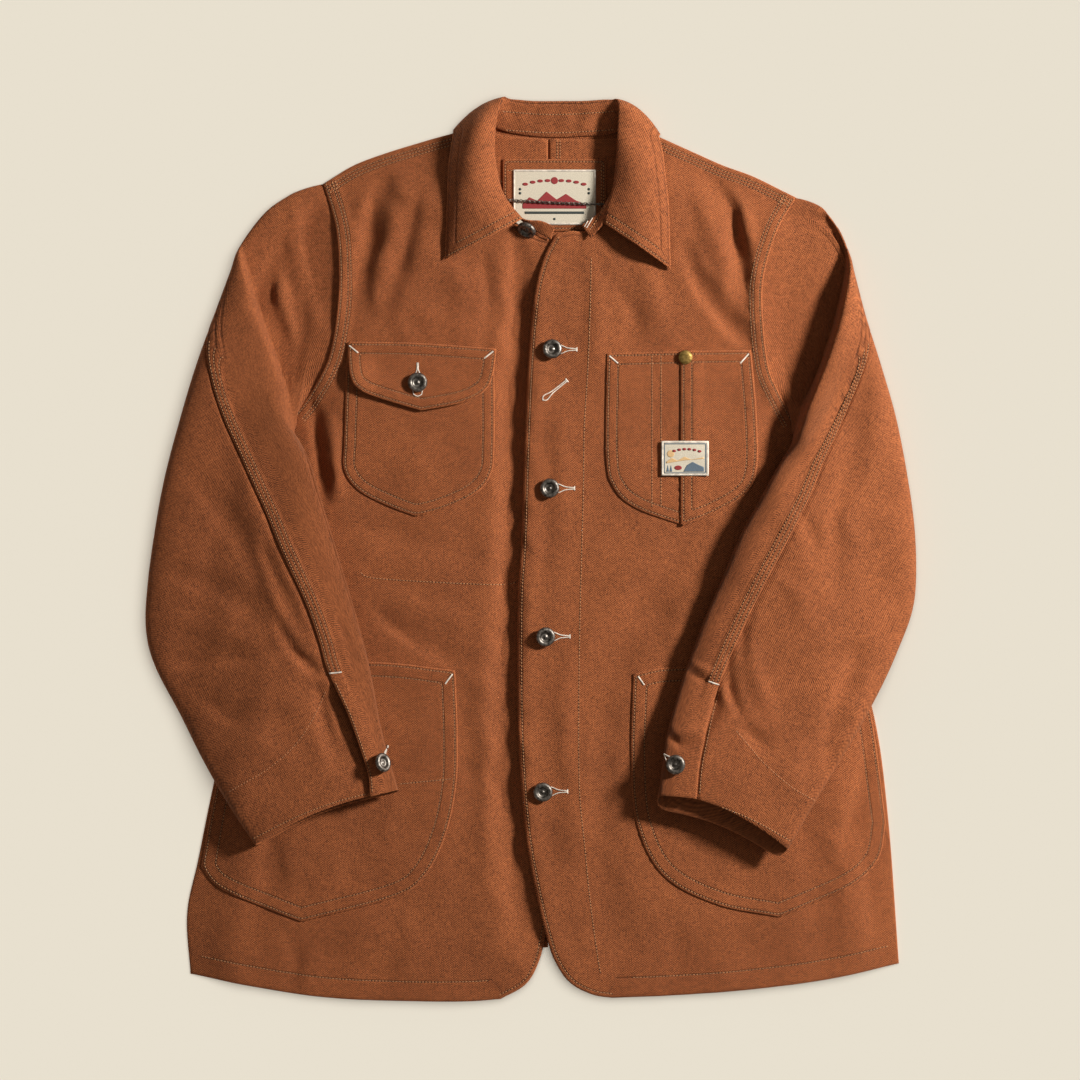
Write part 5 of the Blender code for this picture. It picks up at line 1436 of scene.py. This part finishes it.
# ---- floor, light and camera ----
def place_light(light, spot, floor, state):
    """Puts a lamp at a spot, aimed at the middle, that lights only the floor or everything but the floor."""
    lamp = bpy.data.objects.new(light.name, light)
    lamp.location = spot
    lamp.rotation_euler = spot.to_track_quat("Z", "Y").to_euler()
    bpy.context.scene.collection.objects.link(lamp)
    group = bpy.data.collections.new(light.name + "_lights")
    group.objects.link(floor)
    lamp.light_linking.receiver_collection = group
    group.collection_objects[0].light_linking.link_state = state


def make_studio():
    """A pale floor, one soft key light from the upper right, and a camera straight above."""
    paper = (0.80, 0.745, 0.632)
    floor_material, tree, shader = new_material("floor_paper", paper, 1.0, specular=0.0)
    place = node(tree, "TexCoord").outputs["Object"]
    fibres = node(tree, "TexNoise", {"Vector": place, "Scale": 900.0, "Detail": 2.0}).outputs["Fac"]
    tone = node(tree, "MapRange", {"Value": fibres, "To Min": 0.992, "To Max": 1.008})
    tree.links.new(multiplied(tree, paper, tone.outputs[0]), shader.inputs["Base Color"])
    mesh = bpy.data.meshes.new("floor")
    half, sunk = 20.0, -0.0004
    corners = [(-half, -half, sunk), (half, -half, sunk), (half, half, sunk), (-half, half, sunk)]
    mesh.from_pydata(corners, [], [(0, 1, 2, 3)])
    mesh.materials.append(floor_material)
    floor = bpy.data.objects.new("floor", mesh)
    bpy.context.scene.collection.objects.link(floor)

    reach = math.hypot(KEY_AWAY, KEY_HIGH)
    key = bpy.data.lights.new("key", "AREA")
    key.shape = "DISK"
    key.size = KEY_SIZE
    key.energy = KEY_LIGHT * (math.pi * reach) ** 2 / (KEY_HIGH / reach)
    key.color = (1.0, 0.985, 0.955)
    spot = Vector((KEY_AWAY * math.cos(KEY_HEADING), KEY_AWAY * math.sin(KEY_HEADING), KEY_HIGH))
    place_light(key, spot, floor, "EXCLUDE")
    wash = bpy.data.lights.new("wash", "SUN")
    wash.energy = FLOOR_LIGHT * math.pi
    wash.angle = math.radians(75.0)
    place_light(wash, Vector((0.5, 0.4, 2.0)), floor, "INCLUDE")

    world = bpy.data.worlds.new("studio")
    world.use_nodes = True
    world.node_tree.nodes["Background"].inputs["Color"].default_value = (1.0, 0.95, 0.87, 1.0)
    world.node_tree.nodes["Background"].inputs["Strength"].default_value = WORLD_LIGHT
    bpy.context.scene.world = world

    camera = bpy.data.cameras.new("camera")
    camera.lens_unit = "FOV"
    camera.angle = 2 * math.atan(FRAME_WIDTH / 2 / (CAMERA_HIGH - GARMENT_HIGH))
    camera.clip_end = 100.0
    shot = bpy.data.objects.new("camera", camera)
    shot.location = (*FRAME_MIDDLE, CAMERA_HIGH)
    bpy.context.scene.collection.objects.link(shot)
    bpy.context.scene.camera = shot
    bpy.context.scene.view_settings.view_transform = "Standard"


for leftover in [o for o in bpy.data.objects if o.name in ("Cube", "Light", "Camera")]:
    bpy.data.objects.remove(leftover)
make_studio()
make_backs()
make_fronts()
make_pockets()
make_sleeve("right", -1, SLEEVE_RIGHT)
make_sleeve("left", 1, SLEEVE_LEFT)
make_collar()
make_labels()
make_buttons()
make_buttonholes()
make_chain()
finish_threads()
